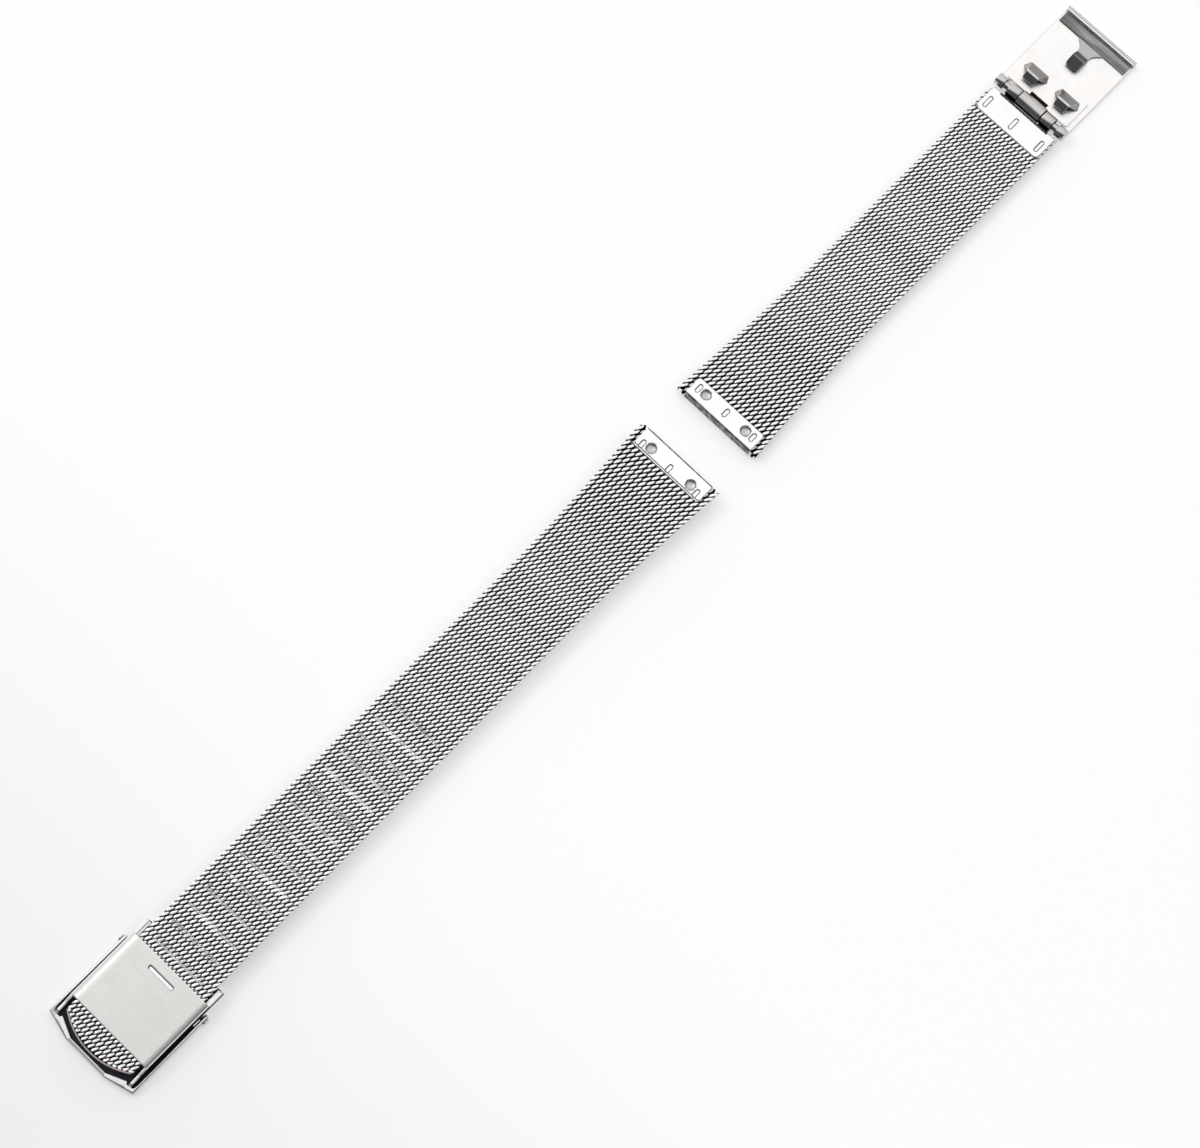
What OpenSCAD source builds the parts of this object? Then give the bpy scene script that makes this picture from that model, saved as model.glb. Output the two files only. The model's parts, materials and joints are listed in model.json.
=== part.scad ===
// Woven steel mesh watch bracelet in two halves, laid out flat with the skin side up.
// Units are millimetres. X runs along the straps, from the slider to the cover,
// Y across them and +Z points to the wrist. The origin is under the middle of the
// laid-out bracelet, on the surface that it lies on.

/* [Woven mesh] */
// Thickness of the woven mesh
mesh_t = 1.5; // [1.3:0.1:1.8]
// Width of the straps between their flared ends
body_w = 13.3; // [12.6:0.1:13.6]
// Width where the straps meet the watch
end_w = 16; // [15:0.5:18]
// Length over which a strap flares to the watch
flare_len = 26.8; // [20:0.5:32]
// Long strap, from its tail to the watch
long_len = 120.5; // [117:0.5:130]
// Short strap, from the watch to the axis of the cover's hinge
short_len = 69.55; // [67:0.5:80]
// Space for the watch head between the strap ends
watch_gap = 7.6; // [5:0.1:20]
// How far the rounded tail's corners lie behind its tip
tail_sag = 2.1; // [1:0.1:3]
// Width of the solid rim round the tail
rim_t = 0.25; // [0.15:0.05:0.4]

/* [Adjusting grooves] */
// Number of grooves pressed across the long strap
groove_count = 16; // [12:1:16]
// Distance from one groove to the next
groove_pitch = 3.39; // [3:0.01:3.4]
// Length of a groove across the strap
groove_len = 9.6; // [7:0.1:11]
// Depth of a groove
groove_depth = 0.12; // [0.08:0.02:0.2]
// Radius of the punch that presses a groove
groove_r = 0.45; // [0.3:0.05:0.6]

/* [Flexing bands] */
// Straight mesh left beyond the slider's last place
long_first_rest = 1.45; // [1:0.05:2]
// Length of the long strap's band beside the watch
long_end_band = 13.3; // [10:0.1:15]
// Length of the short strap's band beside the watch
short_end_band = 14; // [10:0.1:15]
// Length of the short strap's band beside the hinge
short_hinge_band = 15.1; // [12:0.1:17]
// Play between the half-round ends of two bands
flex_gap = 0.12; // [0.1:0.01:0.2]

/* [Watch end plates] */
// Thickness of the plates let into the mesh
plate_t = 0.35; // [0.25:0.05:0.45]
// Length of an end plate along the strap
end_plate_l = 3.2; // [2.8:0.1:4]
// Mesh left beside an end plate on each side
end_plate_margin = 1.45; // [1:0.05:1.8]
// Mesh left between an end plate and the strap's end
end_plate_inset = 0.25; // [0.1:0.05:0.4]
// Radius of the holes for the watch's strap screws
screw_r = 0.8; // [0.6:0.05:0.9]
// Distance between the two screw holes
screw_spacing = 8; // [7:0.5:9]
// Length of a staking mark
stake_l = 1.9; // [1.2:0.1:2.2]
// Width of a staking mark
stake_w = 0.55; // [0.4:0.05:0.7]
// Depth of a staking mark
stake_depth = 0.12; // [0.05:0.01:0.2]
// Distance from the middle staking mark to the outer ones
stake_spacing = 5.3; // [5:0.1:5.6]

/* [Slider] */
// Side play of the mesh between the side walls
side_play = 0.55; // [0.3:0.05:0.8]
// Length of the channel's side walls
slider_l = 18.2; // [17.5:0.1:18.6]
// From the strap's tail to the start of the side walls
slider_start = 0.7; // [0.5:0.1:1]
// Thickness of the channel's side walls
wall_t = 0.45; // [0.3:0.05:0.5]
// Thickness of the channel's floor
floor_t = 0.4; // [0.3:0.05:0.5]
// Thickness of the plate against the skin
skin_t = 0.4; // [0.3:0.05:0.5]
// Length of the plate against the skin
skin_l = 12.2; // [11.5:0.1:12.6]
// From the start of the side walls to the skin plate
skin_start = 3.3; // [3:0.1:3.6]
// From the start of the side walls to the locking rib
rib_at = 13.6; // [13:0.1:14]
// Length of the locking rib
rib_l = 5; // [4:0.1:6]
// Width of the locking rib
rib_w = 0.76; // [0.6:0.02:0.9]
// How far the rib stands in to the mesh
rib_h = 0.07; // [0.03:0.01:0.08]
// Height of the side walls beside the tail
tail_wall_h = 1.9; // [1.6:0.1:2.1]
// Height of the side walls on the watch side
ear_wall_h = 2.1; // [1.8:0.1:2.3]

/* [Lock lever] */
// Play between a side wall and a lever arm
arm_play = 0.2; // [0.1:0.05:0.4]
// Thickness of the arms and of the tail bar
arm_t = 0.65; // [0.4:0.05:0.7]
// Thickness of the lever's floor
lever_t = 0.45; // [0.35:0.05:0.5]
// Height of the arms
arm_h = 1.24; // [1.2:0.02:1.3]
// Height of the bar across the tail
bar_h = 0.98; // [0.8:0.02:1]
// Width of the middle flat of the tail bar
bar_flat = 7.4; // [6:0.1:9]
// From the tail bar's outer face to the side walls
bar_reach = 1.8; // [1.6:0.1:2]
// From the tail bar's outer face back to its corners
bar_corner = 1.24; // [0.8:0.02:1.4]
// Width of the strip that the hooks hold, behind the tail bar
hook_strip = 2.85; // [2.8:0.05:3]
// Bridge between the hook windows and the catch window
window_bridge = 0.6; // [0.4:0.05:0.8]
// Length of the catch window
catch_window_l = 3.3; // [3:0.1:3.5]
// Radius of the lever's rivets
rivet_r = 0.35; // [0.3:0.01:0.4]
// Radius of the rivet heads
rivet_head_r = 0.6; // [0.5:0.02:0.62]
// Thickness of the rivet heads
rivet_head_t = 0.2; // [0.1:0.02:0.3]
// Radius of the cam edge that presses the mesh on to the rib
cam_r = 0.25; // [0.2:0.01:0.27]

/* [Hinge] */
// Radius of the hinge pin
pin_r = 0.6; // [0.5:0.02:0.65]
// Radial play of a turning pin or rivet
pin_play = 0.03; // [0.02:0.01:0.05]
// Outer radius of the cover's middle knuckle
mid_knuckle_r = 1.3; // [1.25:0.01:1.35]
// Width of the cover's middle knuckle
mid_knuckle_w = 4.5; // [4:0.1:4.8]
// Outer radius of the strap's knuckles
strap_knuckle_r = 1.15; // [1.1:0.01:1.2]
// Width of one of the strap's knuckles
strap_knuckle_w = 2; // [1.6:0.1:2.1]
// Side play between the knuckles
knuckle_play = 0.15; // [0.1:0.01:0.2]
// Outer radius of the cover's end ears
ear_r = 0.97; // [0.9:0.01:1.05]
// Width of one of the cover's end ears
ear_w = 1.5; // [1.2:0.1:1.7]
// Length of the plates that hold the mesh at the hinge
clamp_l = 4.35; // [4:0.05:5]
// Mesh left beside those plates on each side
clamp_margin = 0.45; // [0.3:0.05:0.8]
// From the end of the mesh to the hinge axis
mesh_to_hinge = 1.45; // [1.42:0.01:1.6]

/* [Cover] */
// Length of the cover beyond the hinge axis
cover_l = 16.55; // [16.2:0.05:17]
// How far the cover stands out beside the mesh
cover_overhang = 0.17; // [0:0.01:0.3]
// Thickness of the cover's sheet
cover_t = 0.5; // [0.4:0.02:0.55]
// From the hinge axis to the cover's plate
cover_start = 1.5; // [1.45:0.05:1.6]
// Thickness of the hook plate and of the catch spring
hook_t = 0.3; // [0.25:0.01:0.35]
// Length of the hook plate
hook_plate_l = 5.1; // [4.9:0.1:5.4]
// Width of the slot in the hook plate behind the middle knuckle
knuckle_slot_w = 3.3; // [2.8:0.1:4]
// Length of that slot
knuckle_slot_l = 0.7; // [0.4:0.1:0.9]
// Cover left bare beside the hook plate on each side
hook_plate_margin = 0.92; // [0.6:0.02:1.1]
// Width of a hook over the feet of its side walls
hook_w = 4.6; // [4.2:0.05:4.8]
// Width of a hook at the foot of its back wall
hook_back_w = 3.5; // [3:0.1:3.8]
// Width of a hook's ridge
hook_ridge_w = 2.25; // [2:0.05:2.6]
// Width of a hook's lip
hook_lip_w = 2.05; // [1.8:0.05:2.4]
// Distance between the middles of the two hooks
hook_spacing = 6.3; // [6:0.02:6.6]
// Height of a hook's ridge above the hook plate
hook_h = 1.45; // [1.2:0.01:1.5]
// Height of a hook's lip above the hook plate
hook_lip_h = 0.72; // [0.68:0.01:0.8]
// Thickness of a hook's lip
hook_lip_t = 0.2; // [0.15:0.01:0.22]
// From the hinge axis to the tip of a hook's lip
hook_tip = 2.6; // [2.4:0.1:2.7]
// From the tip of a hook's lip to its ridge
hook_rise = 1.1; // [1:0.05:1.3]
// Length of a hook from its tip to the foot of its wall
hook_l = 3.15; // [3:0.05:3.3]
// Width of the catch spring's bar
spring_bar_l = 2.35; // [2:0.05:2.5]
// Width of the catch spring's tongue
tongue_w = 2.3; // [2:0.1:2.8]
// Width of the tongue where it leaves the bar
tongue_root_w = 4.4; // [4:0.1:5]
// Length of the catch spring's tongue
tongue_l = 4.65; // [4.5:0.05:5]
// Thickness of the catch spring's tongue
tongue_t = 0.2; // [0.15:0.01:0.22]
// Height of the tongue's crest above the cover's plate
crest_h = 1.3; // [1.1:0.05:1.35]
// Length of the folded edge over the catch spring
fold_l = 0.7; // [0.5:0.05:0.9]
// Thickness of the folded edge
fold_t = 0.35; // [0.25:0.05:0.4]

/* [Hidden] */
$fn = 48;

// Running gap between sheets that slide or swing past each other
sheet_gap = 0.1;
// Least height of the rivets and their lobes above the surface below
rest_play = 0.02;
// Play between the cam edge and the mesh
cam_play = 0.03;
// Overcut that lets a cutter pass a face
over = 1;

// Places along X
total_l = bar_reach - slider_start + long_len + watch_gap + short_len + cover_l;
tail_x = -total_l / 2 + bar_reach - slider_start;
long_end_x = tail_x + long_len;
short_end_x = long_end_x + watch_gap;
watch_x = (long_end_x + short_end_x) / 2;
hinge_x = short_end_x + short_len;
mesh_end_x = hinge_x - mesh_to_hinge;
slider_x = tail_x + slider_start;
slider_end_x = slider_x + slider_l;
rib_x = slider_x + rib_at;
skin_x = slider_x + skin_start;
bar_x = slider_x - bar_reach;
bar_back_x = bar_x + bar_corner;
cover_end_x = hinge_x + cover_l;
// The slider runs from the first groove to the last, on the long strap's first band
slider_travel = (groove_count - 1) * groove_pitch;
long_first = slider_start + slider_l + slider_travel + long_first_rest;
long_band = (long_len - long_first - long_end_band) / 3;
short_band = (short_len - mesh_to_hinge - short_end_band - short_hinge_band) / 3;

// Catch spring: the end of its bar and the bend of its tongue
spring_x = cover_end_x - fold_t - spring_bar_l;
tongue_x = spring_x - 2 * sheet_gap;

// Widths
slider_w = body_w + 2 * side_play + 2 * wall_t;
lever_w = slider_w + 2 * arm_play + 2 * arm_t;
end_plate_w = end_w - 2 * end_plate_margin;
clamp_w = body_w - 2 * clamp_margin;
cover_w = body_w + 2 * cover_overhang;
hook_plate_w = cover_w - 2 * hook_plate_margin;

// Levels above the surface that the bracelet lies on
floor_z = lever_t + sheet_gap;
long_z = floor_z + floor_t + sheet_gap;
skin_z = long_z + mesh_t + sheet_gap;
pin_z = mid_knuckle_r;
short_z = pin_z - strap_knuckle_r;
rivet_z = rivet_head_r + rest_play;

// Lever and windows
bar_inner_x = bar_x + arm_t;
lever_floor_end = rib_x - 1.6;
cam_end = rib_x + 0.2;
cam_w = body_w - 2.5;
cam_top = long_z - cam_play;
cam_window_play = 0.3;
hook_window_x = bar_inner_x + hook_strip;
hook_window_l = hook_l + 1.5 * sheet_gap;
hook_window_w = hook_w + 2.5 * sheet_gap;
hook_window_end = hook_window_x + hook_window_l;
catch_window_x = hook_window_end + window_bridge;
catch_window_w = tongue_w + 5 * sheet_gap;
floor_x = hook_window_end + 2 * sheet_gap;

// Half the width of the strap at a place along X
function half_w(x) =
    body_w / 2 + (end_w - body_w) / 2
    * pow(max(0, 1 - (abs(x - watch_x) - watch_gap / 2) / flare_len), 1.4);

// Outline of a strap between two places along X
function outline(xa, xb, n = 8) = concat(
    [for (i = [0:n]) let (x = xa + (xb - xa) * i / n) [x, half_w(x)]],
    [for (i = [n:-1:0]) let (x = xa + (xb - xa) * i / n) [x, -half_w(x)]]);

// Place of a joint between two bands
function long_joint(i) = tail_x + long_first + i * long_band;
function short_joint(i) = short_end_x + short_end_band + i * short_band;

// Slab of mesh with half-round ends where it joins the next band
module band(xa, xb, z0, round_a = true, round_b = true) {
    r = mesh_t / 2;
    xl = round_a ? xa + r : xa;
    xr = round_b ? xb - r : xb;
    intersection() {
        translate([0, 0, z0 - over]) linear_extrude(mesh_t + 2 * over) polygon(outline(xa, xb));
        union() {
            block([xl, -end_w, z0], [xr, end_w, z0 + mesh_t]);
            if (round_a) rod(xl, z0 + r, r, 2 * end_w);
            if (round_b) rod(xr, z0 + r, r, 2 * end_w);
        }
    }
}

// Slot with round ends along X, cut down from z
module slot(x, y, z, l, w, depth) {
    translate([x, y, z - depth]) union() {
        translate([-(l - w) / 2, -w / 2, 0]) cube([l - w, w, depth + over]);
        for (s = [-1, 1]) translate([s * (l - w) / 2, 0, 0]) cylinder(d = w, h = depth + over);
    }
}

// Box given by its low corner and high corner
module block(a, b) {
    translate(a) cube(b - a);
}

// Rod along Y through (x, z)
module rod(x, z, r, w, y = 0) {
    translate([x, y, z]) rotate([90, 0, 0]) cylinder(r = r, h = w, center = true);
}

// Two screw holes across the strap, with their middle at x
module screw_holes(x, z) {
    for (s = [-1, 1]) translate([x, s * screw_spacing / 2, z - over])
        cylinder(r = screw_r, h = mesh_t + 2 * over);
}

// Place of the screw holes, measured from the strap's end
screw_inset = end_plate_inset + end_plate_l / 2 + 0.25;
// Side distance of the staking marks at the hinge
clamp_stake_spacing = clamp_w / 2 - 1;
// From the clamp plate's free edge to the middle of its staking marks
clamp_stake_inset = 1.8;
// Radius of the tail's arc
tail_r = (pow(body_w / 2, 2) + pow(tail_sag, 2)) / (2 * tail_sag);

module tail_disc(r) {
    translate([tail_x + tail_r, 0, long_z - over]) cylinder(r = r, h = mesh_t + 2 * over, $fn = 96);
}

module mesh_grooved() {
    color("silver") difference() {
        intersection() {
            band(tail_x, long_joint(0) - flex_gap / 2, long_z, false, true);
            union() {
                tail_disc(tail_r - rim_t);
                block([tail_x + tail_sag, -body_w, long_z - over],
                      [long_joint(0), body_w, long_z + mesh_t + over]);
            }
        }
        for (i = [0:groove_count - 1])
            rod(rib_x + i * groove_pitch, long_z + mesh_t + groove_r - groove_depth, groove_r, groove_len);
    }
}

module tail_rim() {
    color("gainsboro") intersection() {
        difference() {
            tail_disc(tail_r);
            tail_disc(tail_r - rim_t);
        }
        block([tail_x - over, -body_w / 2, long_z], [tail_x + tail_sag, body_w / 2, long_z + mesh_t]);
    }
}

// One flexing band of the long strap
module long_mesh(i) {
    color("silver") band(long_joint(i) + flex_gap / 2, long_joint(i + 1) - flex_gap / 2, long_z);
}

// One flexing band of the short strap
module short_mesh(i) {
    color("silver") band(short_joint(i) + flex_gap / 2, short_joint(i + 1) - flex_gap / 2, short_z);
}

// Plate let into the mesh beside the watch; dir points into the strap
module end_plate(end_x, dir, z0) {
    color("whitesmoke") difference() {
        end_plate_blank(end_x, dir, z0 + mesh_t - plate_t, plate_t);
        screw_holes(end_x + dir * screw_inset, z0);
        for (s = [-1, 0, 1])
            slot(end_x + dir * screw_inset, s * stake_spacing, z0 + mesh_t, stake_l, stake_w, stake_depth);
    }
}

module end_plate_blank(end_x, dir, z, h) {
    mid_x = end_x + dir * (end_plate_inset + end_plate_l / 2);
    translate([mid_x - end_plate_l / 2, -end_plate_w / 2, z]) cube([end_plate_l, end_plate_w, h]);
}

module long_mesh_watch_end() {
    color("silver") difference() {
        band(long_joint(3) + flex_gap / 2, long_end_x, long_z, true, false);
        end_plate_blank(long_end_x, -1, long_z + mesh_t - plate_t, over);
        screw_holes(long_end_x - screw_inset, long_z);
    }
}

module short_mesh_watch_end() {
    color("silver") difference() {
        band(short_end_x, short_joint(0) - flex_gap / 2, short_z, false, true);
        end_plate_blank(short_end_x, 1, short_z + mesh_t - plate_t, over);
        screw_holes(short_end_x + screw_inset, short_z);
    }
}

module clamp_blank(z, h) {
    translate([mesh_end_x - clamp_l, -clamp_w / 2, z]) cube([clamp_l, clamp_w, h]);
}

module short_mesh_hinge_end() {
    color("silver") difference() {
        band(short_joint(3) + flex_gap / 2, mesh_end_x, short_z, true, false);
        clamp_blank(short_z + mesh_t - plate_t, over);
        clamp_blank(short_z - over + plate_t, over);
    }
}

module clamp_plate() {
    z = short_z + mesh_t - plate_t;
    color("whitesmoke") difference() {
        clamp_blank(z, plate_t);
        for (s = [-1, 0, 1])
            slot(mesh_end_x - clamp_l + clamp_stake_inset, s * clamp_stake_spacing, z + plate_t,
                 stake_l, stake_w, stake_depth);
    }
}

// Plate under the mesh with the strap's two knuckles
module hinge_leaf() {
    knuckle_y = mid_knuckle_w / 2 + knuckle_play + strap_knuckle_w / 2;
    color("darkgray") difference() {
        union() {
            clamp_blank(short_z, plate_t);
            for (s = [-1, 1]) {
                translate([mesh_end_x - over, s * knuckle_y - strap_knuckle_w / 2, short_z])
                    cube([mesh_to_hinge + over, strap_knuckle_w, plate_t]);
                rod(hinge_x, pin_z, strap_knuckle_r, strap_knuckle_w, s * knuckle_y);
            }
        }
        rod(hinge_x, pin_z, pin_r + pin_play, clamp_w);
    }
}

module hinge_pin() {
    color("gainsboro") rod(hinge_x, pin_z, pin_r, cover_w);
}

// Cover sheet with its rolled middle knuckle, end ears and folded edge
module cover_plate() {
    ear_y = cover_w / 2 - ear_w / 2;
    ear_arm_z = sheet_gap;
    plate_x = hinge_x + cover_start;
    fold_z = cover_t + hook_t;
    color("gainsboro") difference() {
        union() {
            block([plate_x, -cover_w / 2, 0], [cover_end_x, cover_w / 2, cover_t]);
            block([hinge_x, -mid_knuckle_w / 2, 0], [plate_x + over, mid_knuckle_w / 2, cover_t]);
            rod(hinge_x, pin_z, mid_knuckle_r, mid_knuckle_w);
            for (s = [-1, 1]) {
                rod(hinge_x, pin_z, ear_r, ear_w, s * ear_y);
                translate([hinge_x, s * ear_y - ear_w / 2, ear_arm_z])
                    cube([cover_start + over, ear_w, cover_t - ear_arm_z]);
            }
            block([cover_end_x - fold_t, -cover_w / 2, 0], [cover_end_x, cover_w / 2, fold_z + fold_t]);
            block([cover_end_x - fold_l, -cover_w / 2, fold_z], [cover_end_x, cover_w / 2, fold_z + fold_t]);
        }
        rod(hinge_x, pin_z, pin_r, 2 * cover_w);
    }
}

// One hook: a hollow hood, open towards the hinge, with a lip that slopes down from its ridge
module hook(y) {
    wall = 0.3;
    side_l = 1.15;
    ridge_l = 0.2;
    base_z = cover_t + hook_t;
    tip_x = hinge_x + hook_tip;
    ridge_x = tip_x + hook_rise;
    foot_x = tip_x + hook_l;
    side_x = foot_x - side_l;
    module ridge(drop, half) {
        translate([ridge_x - ridge_l / 2, y - half, base_z + hook_h - drop - hook_lip_t])
            cube([ridge_l, 2 * half, hook_lip_t]);
    }
    module base(front, side, back_x, back) {
        translate([0, y, base_z - 0.05]) linear_extrude(0.05)
            polygon([[front, side], [front, -side], [back_x, -back], [back_x, back]]);
    }
    difference() {
        hull() {
            ridge(0, hook_ridge_w / 2);
            base(side_x, hook_w / 2, foot_x, hook_back_w / 2);
        }
        hull() {
            ridge(wall, hook_ridge_w / 2 - wall);
            base(side_x - 3 * wall, hook_w / 2 - 1.5 * wall, foot_x - 1.5 * wall, hook_back_w / 2 - wall);
        }
    }
    hull() {
        ridge(0, hook_ridge_w / 2);
        translate([tip_x, y - hook_lip_w / 2, base_z + hook_lip_h - hook_lip_t])
            cube([hook_lip_t / 2, hook_lip_w, hook_lip_t]);
    }
}

module hook_plate() {
    x = hinge_x + cover_start;
    color("silver") union() {
        difference() {
            translate([x, -hook_plate_w / 2, cover_t]) cube([hook_plate_l, hook_plate_w, hook_t]);
            block([x - over, -knuckle_slot_w / 2, 0],
                  [x + knuckle_slot_l, knuckle_slot_w / 2, cover_t + 2 * hook_t]);
        }
        hook(hook_spacing / 2);
        hook(-hook_spacing / 2);
    }
}

module catch_spring_bar() {
    half = cover_w / 2 - 3 * sheet_gap;
    color("gray") block([spring_x, -half, cover_t], [cover_end_x - fold_t, half, cover_t + hook_t]);
}

// Tongue of the catch spring: it rises to a crest and falls to its tip
module catch_tongue() {
    r = hook_t / 2;
    flare = 1.5;
    ramp = 1.75;
    ramp_z = 0.35;
    crest = 2.85;
    tip_z = 0.56;
    slope_t = 1.3 * tongue_t;
    top = [[0, hook_t], [-ramp, ramp_z], [-crest, crest_h], [-tongue_l, tip_z]];
    bottom = [[-tongue_l, tip_z - tongue_t], [-crest, crest_h - slope_t], [-ramp, ramp_z - tongue_t], [0, 0]];
    side = [[over, tongue_root_w / 2], [-0.2, tongue_root_w / 2], [-flare, tongue_w / 2],
            [-tongue_l - over, tongue_w / 2]];
    other_side = [for (i = [len(side) - 1:-1:0]) [side[i].x, -side[i].y]];
    color("gray") intersection() {
        translate([tongue_x, 0, cover_t]) rotate([90, 0, 0])
            linear_extrude(tongue_root_w, center = true) union() {
                polygon(concat(top, bottom));
                translate([0, r]) circle(r);
            }
        translate([tongue_x, 0, 0]) linear_extrude(2 * mesh_t) polygon(concat(side, other_side));
    }
}

// Channel that carries the slider's parts: a floor and two side walls
module slider_body() {
    wall_y = slider_w / 2 - wall_t / 2;
    color("lightgray") difference() {
        union() {
            block([floor_x, -slider_w / 2, floor_z], [slider_end_x, slider_w / 2, floor_z + floor_t]);
            for (s = [-1, 1]) {
                translate([0, s * wall_y, 0]) side_wall();
                rod(rib_x, rivet_z, rivet_z - rest_play, wall_t, s * wall_y);
            }
        }
        block([lever_floor_end - arm_t, -cam_w / 2 - cam_window_play, 0],
              [cam_end + cam_window_play, cam_w / 2 + cam_window_play, long_z]);
        block([catch_window_x, -catch_window_w / 2, 0],
              [catch_window_x + catch_window_l, catch_window_w / 2, long_z]);
        rod(rib_x, rivet_z, rivet_r, slider_w + over);
    }
}

// Side wall: low beside the tail, high under the skin plate, low on the watch side
module side_wall() {
    r = 0.5;
    step_l = 1.24;
    module step(xa, xb, h) {
        translate([xa, -wall_t / 2, floor_z]) cube([xb - xa, wall_t, h - floor_z]);
    }
    module end(x, h) {
        translate([x, -wall_t / 2, floor_z]) cube([2 * r, wall_t, h - r - floor_z]);
        rod(x + r, h - r, r, wall_t);
    }
    end(slider_x, tail_wall_h);
    step(slider_x + r, skin_x - step_l, tail_wall_h);
    step(skin_x - step_l, skin_x, tail_wall_h + 4 * sheet_gap);
    step(skin_x, skin_x + skin_l, skin_z);
    step(skin_x + skin_l, slider_end_x - r, ear_wall_h);
    end(slider_end_x - 2 * r, ear_wall_h);
}

// Plate against the skin, with rolled edges and the locking rib
module slider_skin_plate() {
    flat_w = slider_w - 2 * skin_t;
    color("lightgray") difference() {
        union() {
            translate([skin_x, -flat_w / 2, skin_z]) cube([skin_l, flat_w, skin_t]);
            for (s = [-1, 1]) intersection() {
                translate([skin_x, s * flat_w / 2, skin_z]) rotate([0, 90, 0])
                    cylinder(r = skin_t, h = skin_l);
                block([skin_x, -slider_w, skin_z], [skin_x + skin_l, slider_w, skin_z + 2 * skin_t]);
            }
            rib(rib_w - 0.3, rib_l - 0.3, skin_z - rib_h, rib_h + skin_t / 2);
        }
        rib(rib_w, rib_l, skin_z + skin_t * 0.55, skin_t);
    }
}

// Capsule across the strap
module rib(w, l, z, h) {
    translate([rib_x, 0, z]) union() {
        translate([-w / 2, -(l - w) / 2, 0]) cube([w, l - w, h]);
        for (s = [-1, 1]) translate([0, s * (l - w) / 2, 0]) cylinder(d = w, h = h);
    }
}

module slider_rivets() {
    inner_y = slider_w / 2 - wall_t;
    outer_y = lever_w / 2 + pin_play;
    color("gainsboro") for (s = [-1, 1]) {
        rod(rib_x, rivet_z, rivet_r, outer_y - inner_y, s * (outer_y + inner_y) / 2);
        rod(rib_x, rivet_z, rivet_head_r, rivet_head_t, s * (outer_y + rivet_head_t / 2));
    }
}

// Lever: two arms, the bar across the tail and a floor with the windows of the clasp
module lock_lever() {
    w = lever_w / 2;
    wi = w - arm_t;
    cam_step = 0.4;
    arm_end = rib_x + 0.24;
    module bar_outline(x, half, flat, back) {
        upper = [[back, half], [x + bar_corner, half], [x, flat / 2]];
        lower = [for (i = [2:-1:0]) [upper[i].x, -upper[i].y]];
        polygon(concat(upper, lower));
    }
    color("silver") difference() {
        union() {
            difference() {
                linear_extrude(bar_h) bar_outline(bar_x, w, bar_flat, bar_back_x + arm_t);
                translate([0, 0, lever_t]) linear_extrude(bar_h)
                    bar_outline(bar_inner_x, wi, bar_flat - 0.4, bar_back_x + 2 * arm_t);
            }
            block([bar_back_x, -w, 0], [lever_floor_end, w, lever_t]);
            for (s = [-1, 1]) {
                translate([bar_back_x, s * (w - arm_t / 2) - arm_t / 2, 0])
                    cube([arm_end - bar_back_x, arm_t, arm_h]);
                rod(arm_end, arm_h / 2, arm_h / 2, arm_t, s * (w - arm_t / 2));
            }
            block([lever_floor_end - cam_step, -cam_w / 2, 0],
                  [lever_floor_end, cam_w / 2, floor_z + floor_t]);
            block([lever_floor_end - cam_step, -cam_w / 2, lever_t + sheet_gap / 2],
                  [cam_end, cam_w / 2, floor_z + floor_t]);
            rod(rib_x, cam_top - cam_r, cam_r, cam_w);
        }
        for (s = [-1, 1])
            translate([hook_window_x, s * hook_spacing / 2 - hook_window_w / 2, -over])
                cube([hook_window_l, hook_window_w, lever_t + 2 * over]);
        translate([catch_window_x, -catch_window_w / 2, -over])
            cube([catch_window_l, catch_window_w, lever_t + 2 * over]);
        for (s = [-1, 1]) rod(rib_x, rivet_z, rivet_r + pin_play, arm_t + 0.2, s * (w - arm_t / 2));
    }
}

module long_mesh_a() { long_mesh(0); }
module long_mesh_b() { long_mesh(1); }
module long_mesh_c() { long_mesh(2); }
module short_mesh_a() { short_mesh(0); }
module short_mesh_b() { short_mesh(1); }
module short_mesh_c() { short_mesh(2); }
module long_end_plate() { end_plate(long_end_x, -1, long_z); }
module short_end_plate() { end_plate(short_end_x, 1, short_z); }

mesh_grooved();
tail_rim();
long_mesh_a();
long_mesh_b();
long_mesh_c();
long_mesh_watch_end();
long_end_plate();
slider_body();
slider_skin_plate();
slider_rivets();
lock_lever();
short_end_plate();
short_mesh_watch_end();
short_mesh_a();
short_mesh_b();
short_mesh_c();
short_mesh_hinge_end();
clamp_plate();
hinge_leaf();
hinge_pin();
cover_plate();
hook_plate();
catch_spring_bar();
catch_tongue();
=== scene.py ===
import json
import math

import bmesh
import bpy
from mathutils import Matrix, Vector


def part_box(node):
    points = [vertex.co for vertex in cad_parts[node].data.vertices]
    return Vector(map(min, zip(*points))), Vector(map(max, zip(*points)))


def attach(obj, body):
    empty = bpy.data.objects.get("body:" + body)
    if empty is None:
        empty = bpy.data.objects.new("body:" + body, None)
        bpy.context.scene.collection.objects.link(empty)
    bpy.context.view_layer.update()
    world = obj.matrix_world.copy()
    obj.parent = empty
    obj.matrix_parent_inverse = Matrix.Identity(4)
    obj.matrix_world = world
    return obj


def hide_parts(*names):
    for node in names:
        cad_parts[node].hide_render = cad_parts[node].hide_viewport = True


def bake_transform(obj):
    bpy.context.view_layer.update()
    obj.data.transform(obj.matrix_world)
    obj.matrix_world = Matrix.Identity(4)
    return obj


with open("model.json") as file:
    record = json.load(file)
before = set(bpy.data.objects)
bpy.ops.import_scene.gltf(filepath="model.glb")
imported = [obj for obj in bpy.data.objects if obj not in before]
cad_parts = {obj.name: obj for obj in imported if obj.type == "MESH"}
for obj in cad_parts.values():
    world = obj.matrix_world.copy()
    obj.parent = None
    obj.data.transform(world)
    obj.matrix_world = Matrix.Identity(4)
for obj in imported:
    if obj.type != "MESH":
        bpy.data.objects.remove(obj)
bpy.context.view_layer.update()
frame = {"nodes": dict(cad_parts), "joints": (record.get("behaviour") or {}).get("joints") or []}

MM = 0.001

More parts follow.
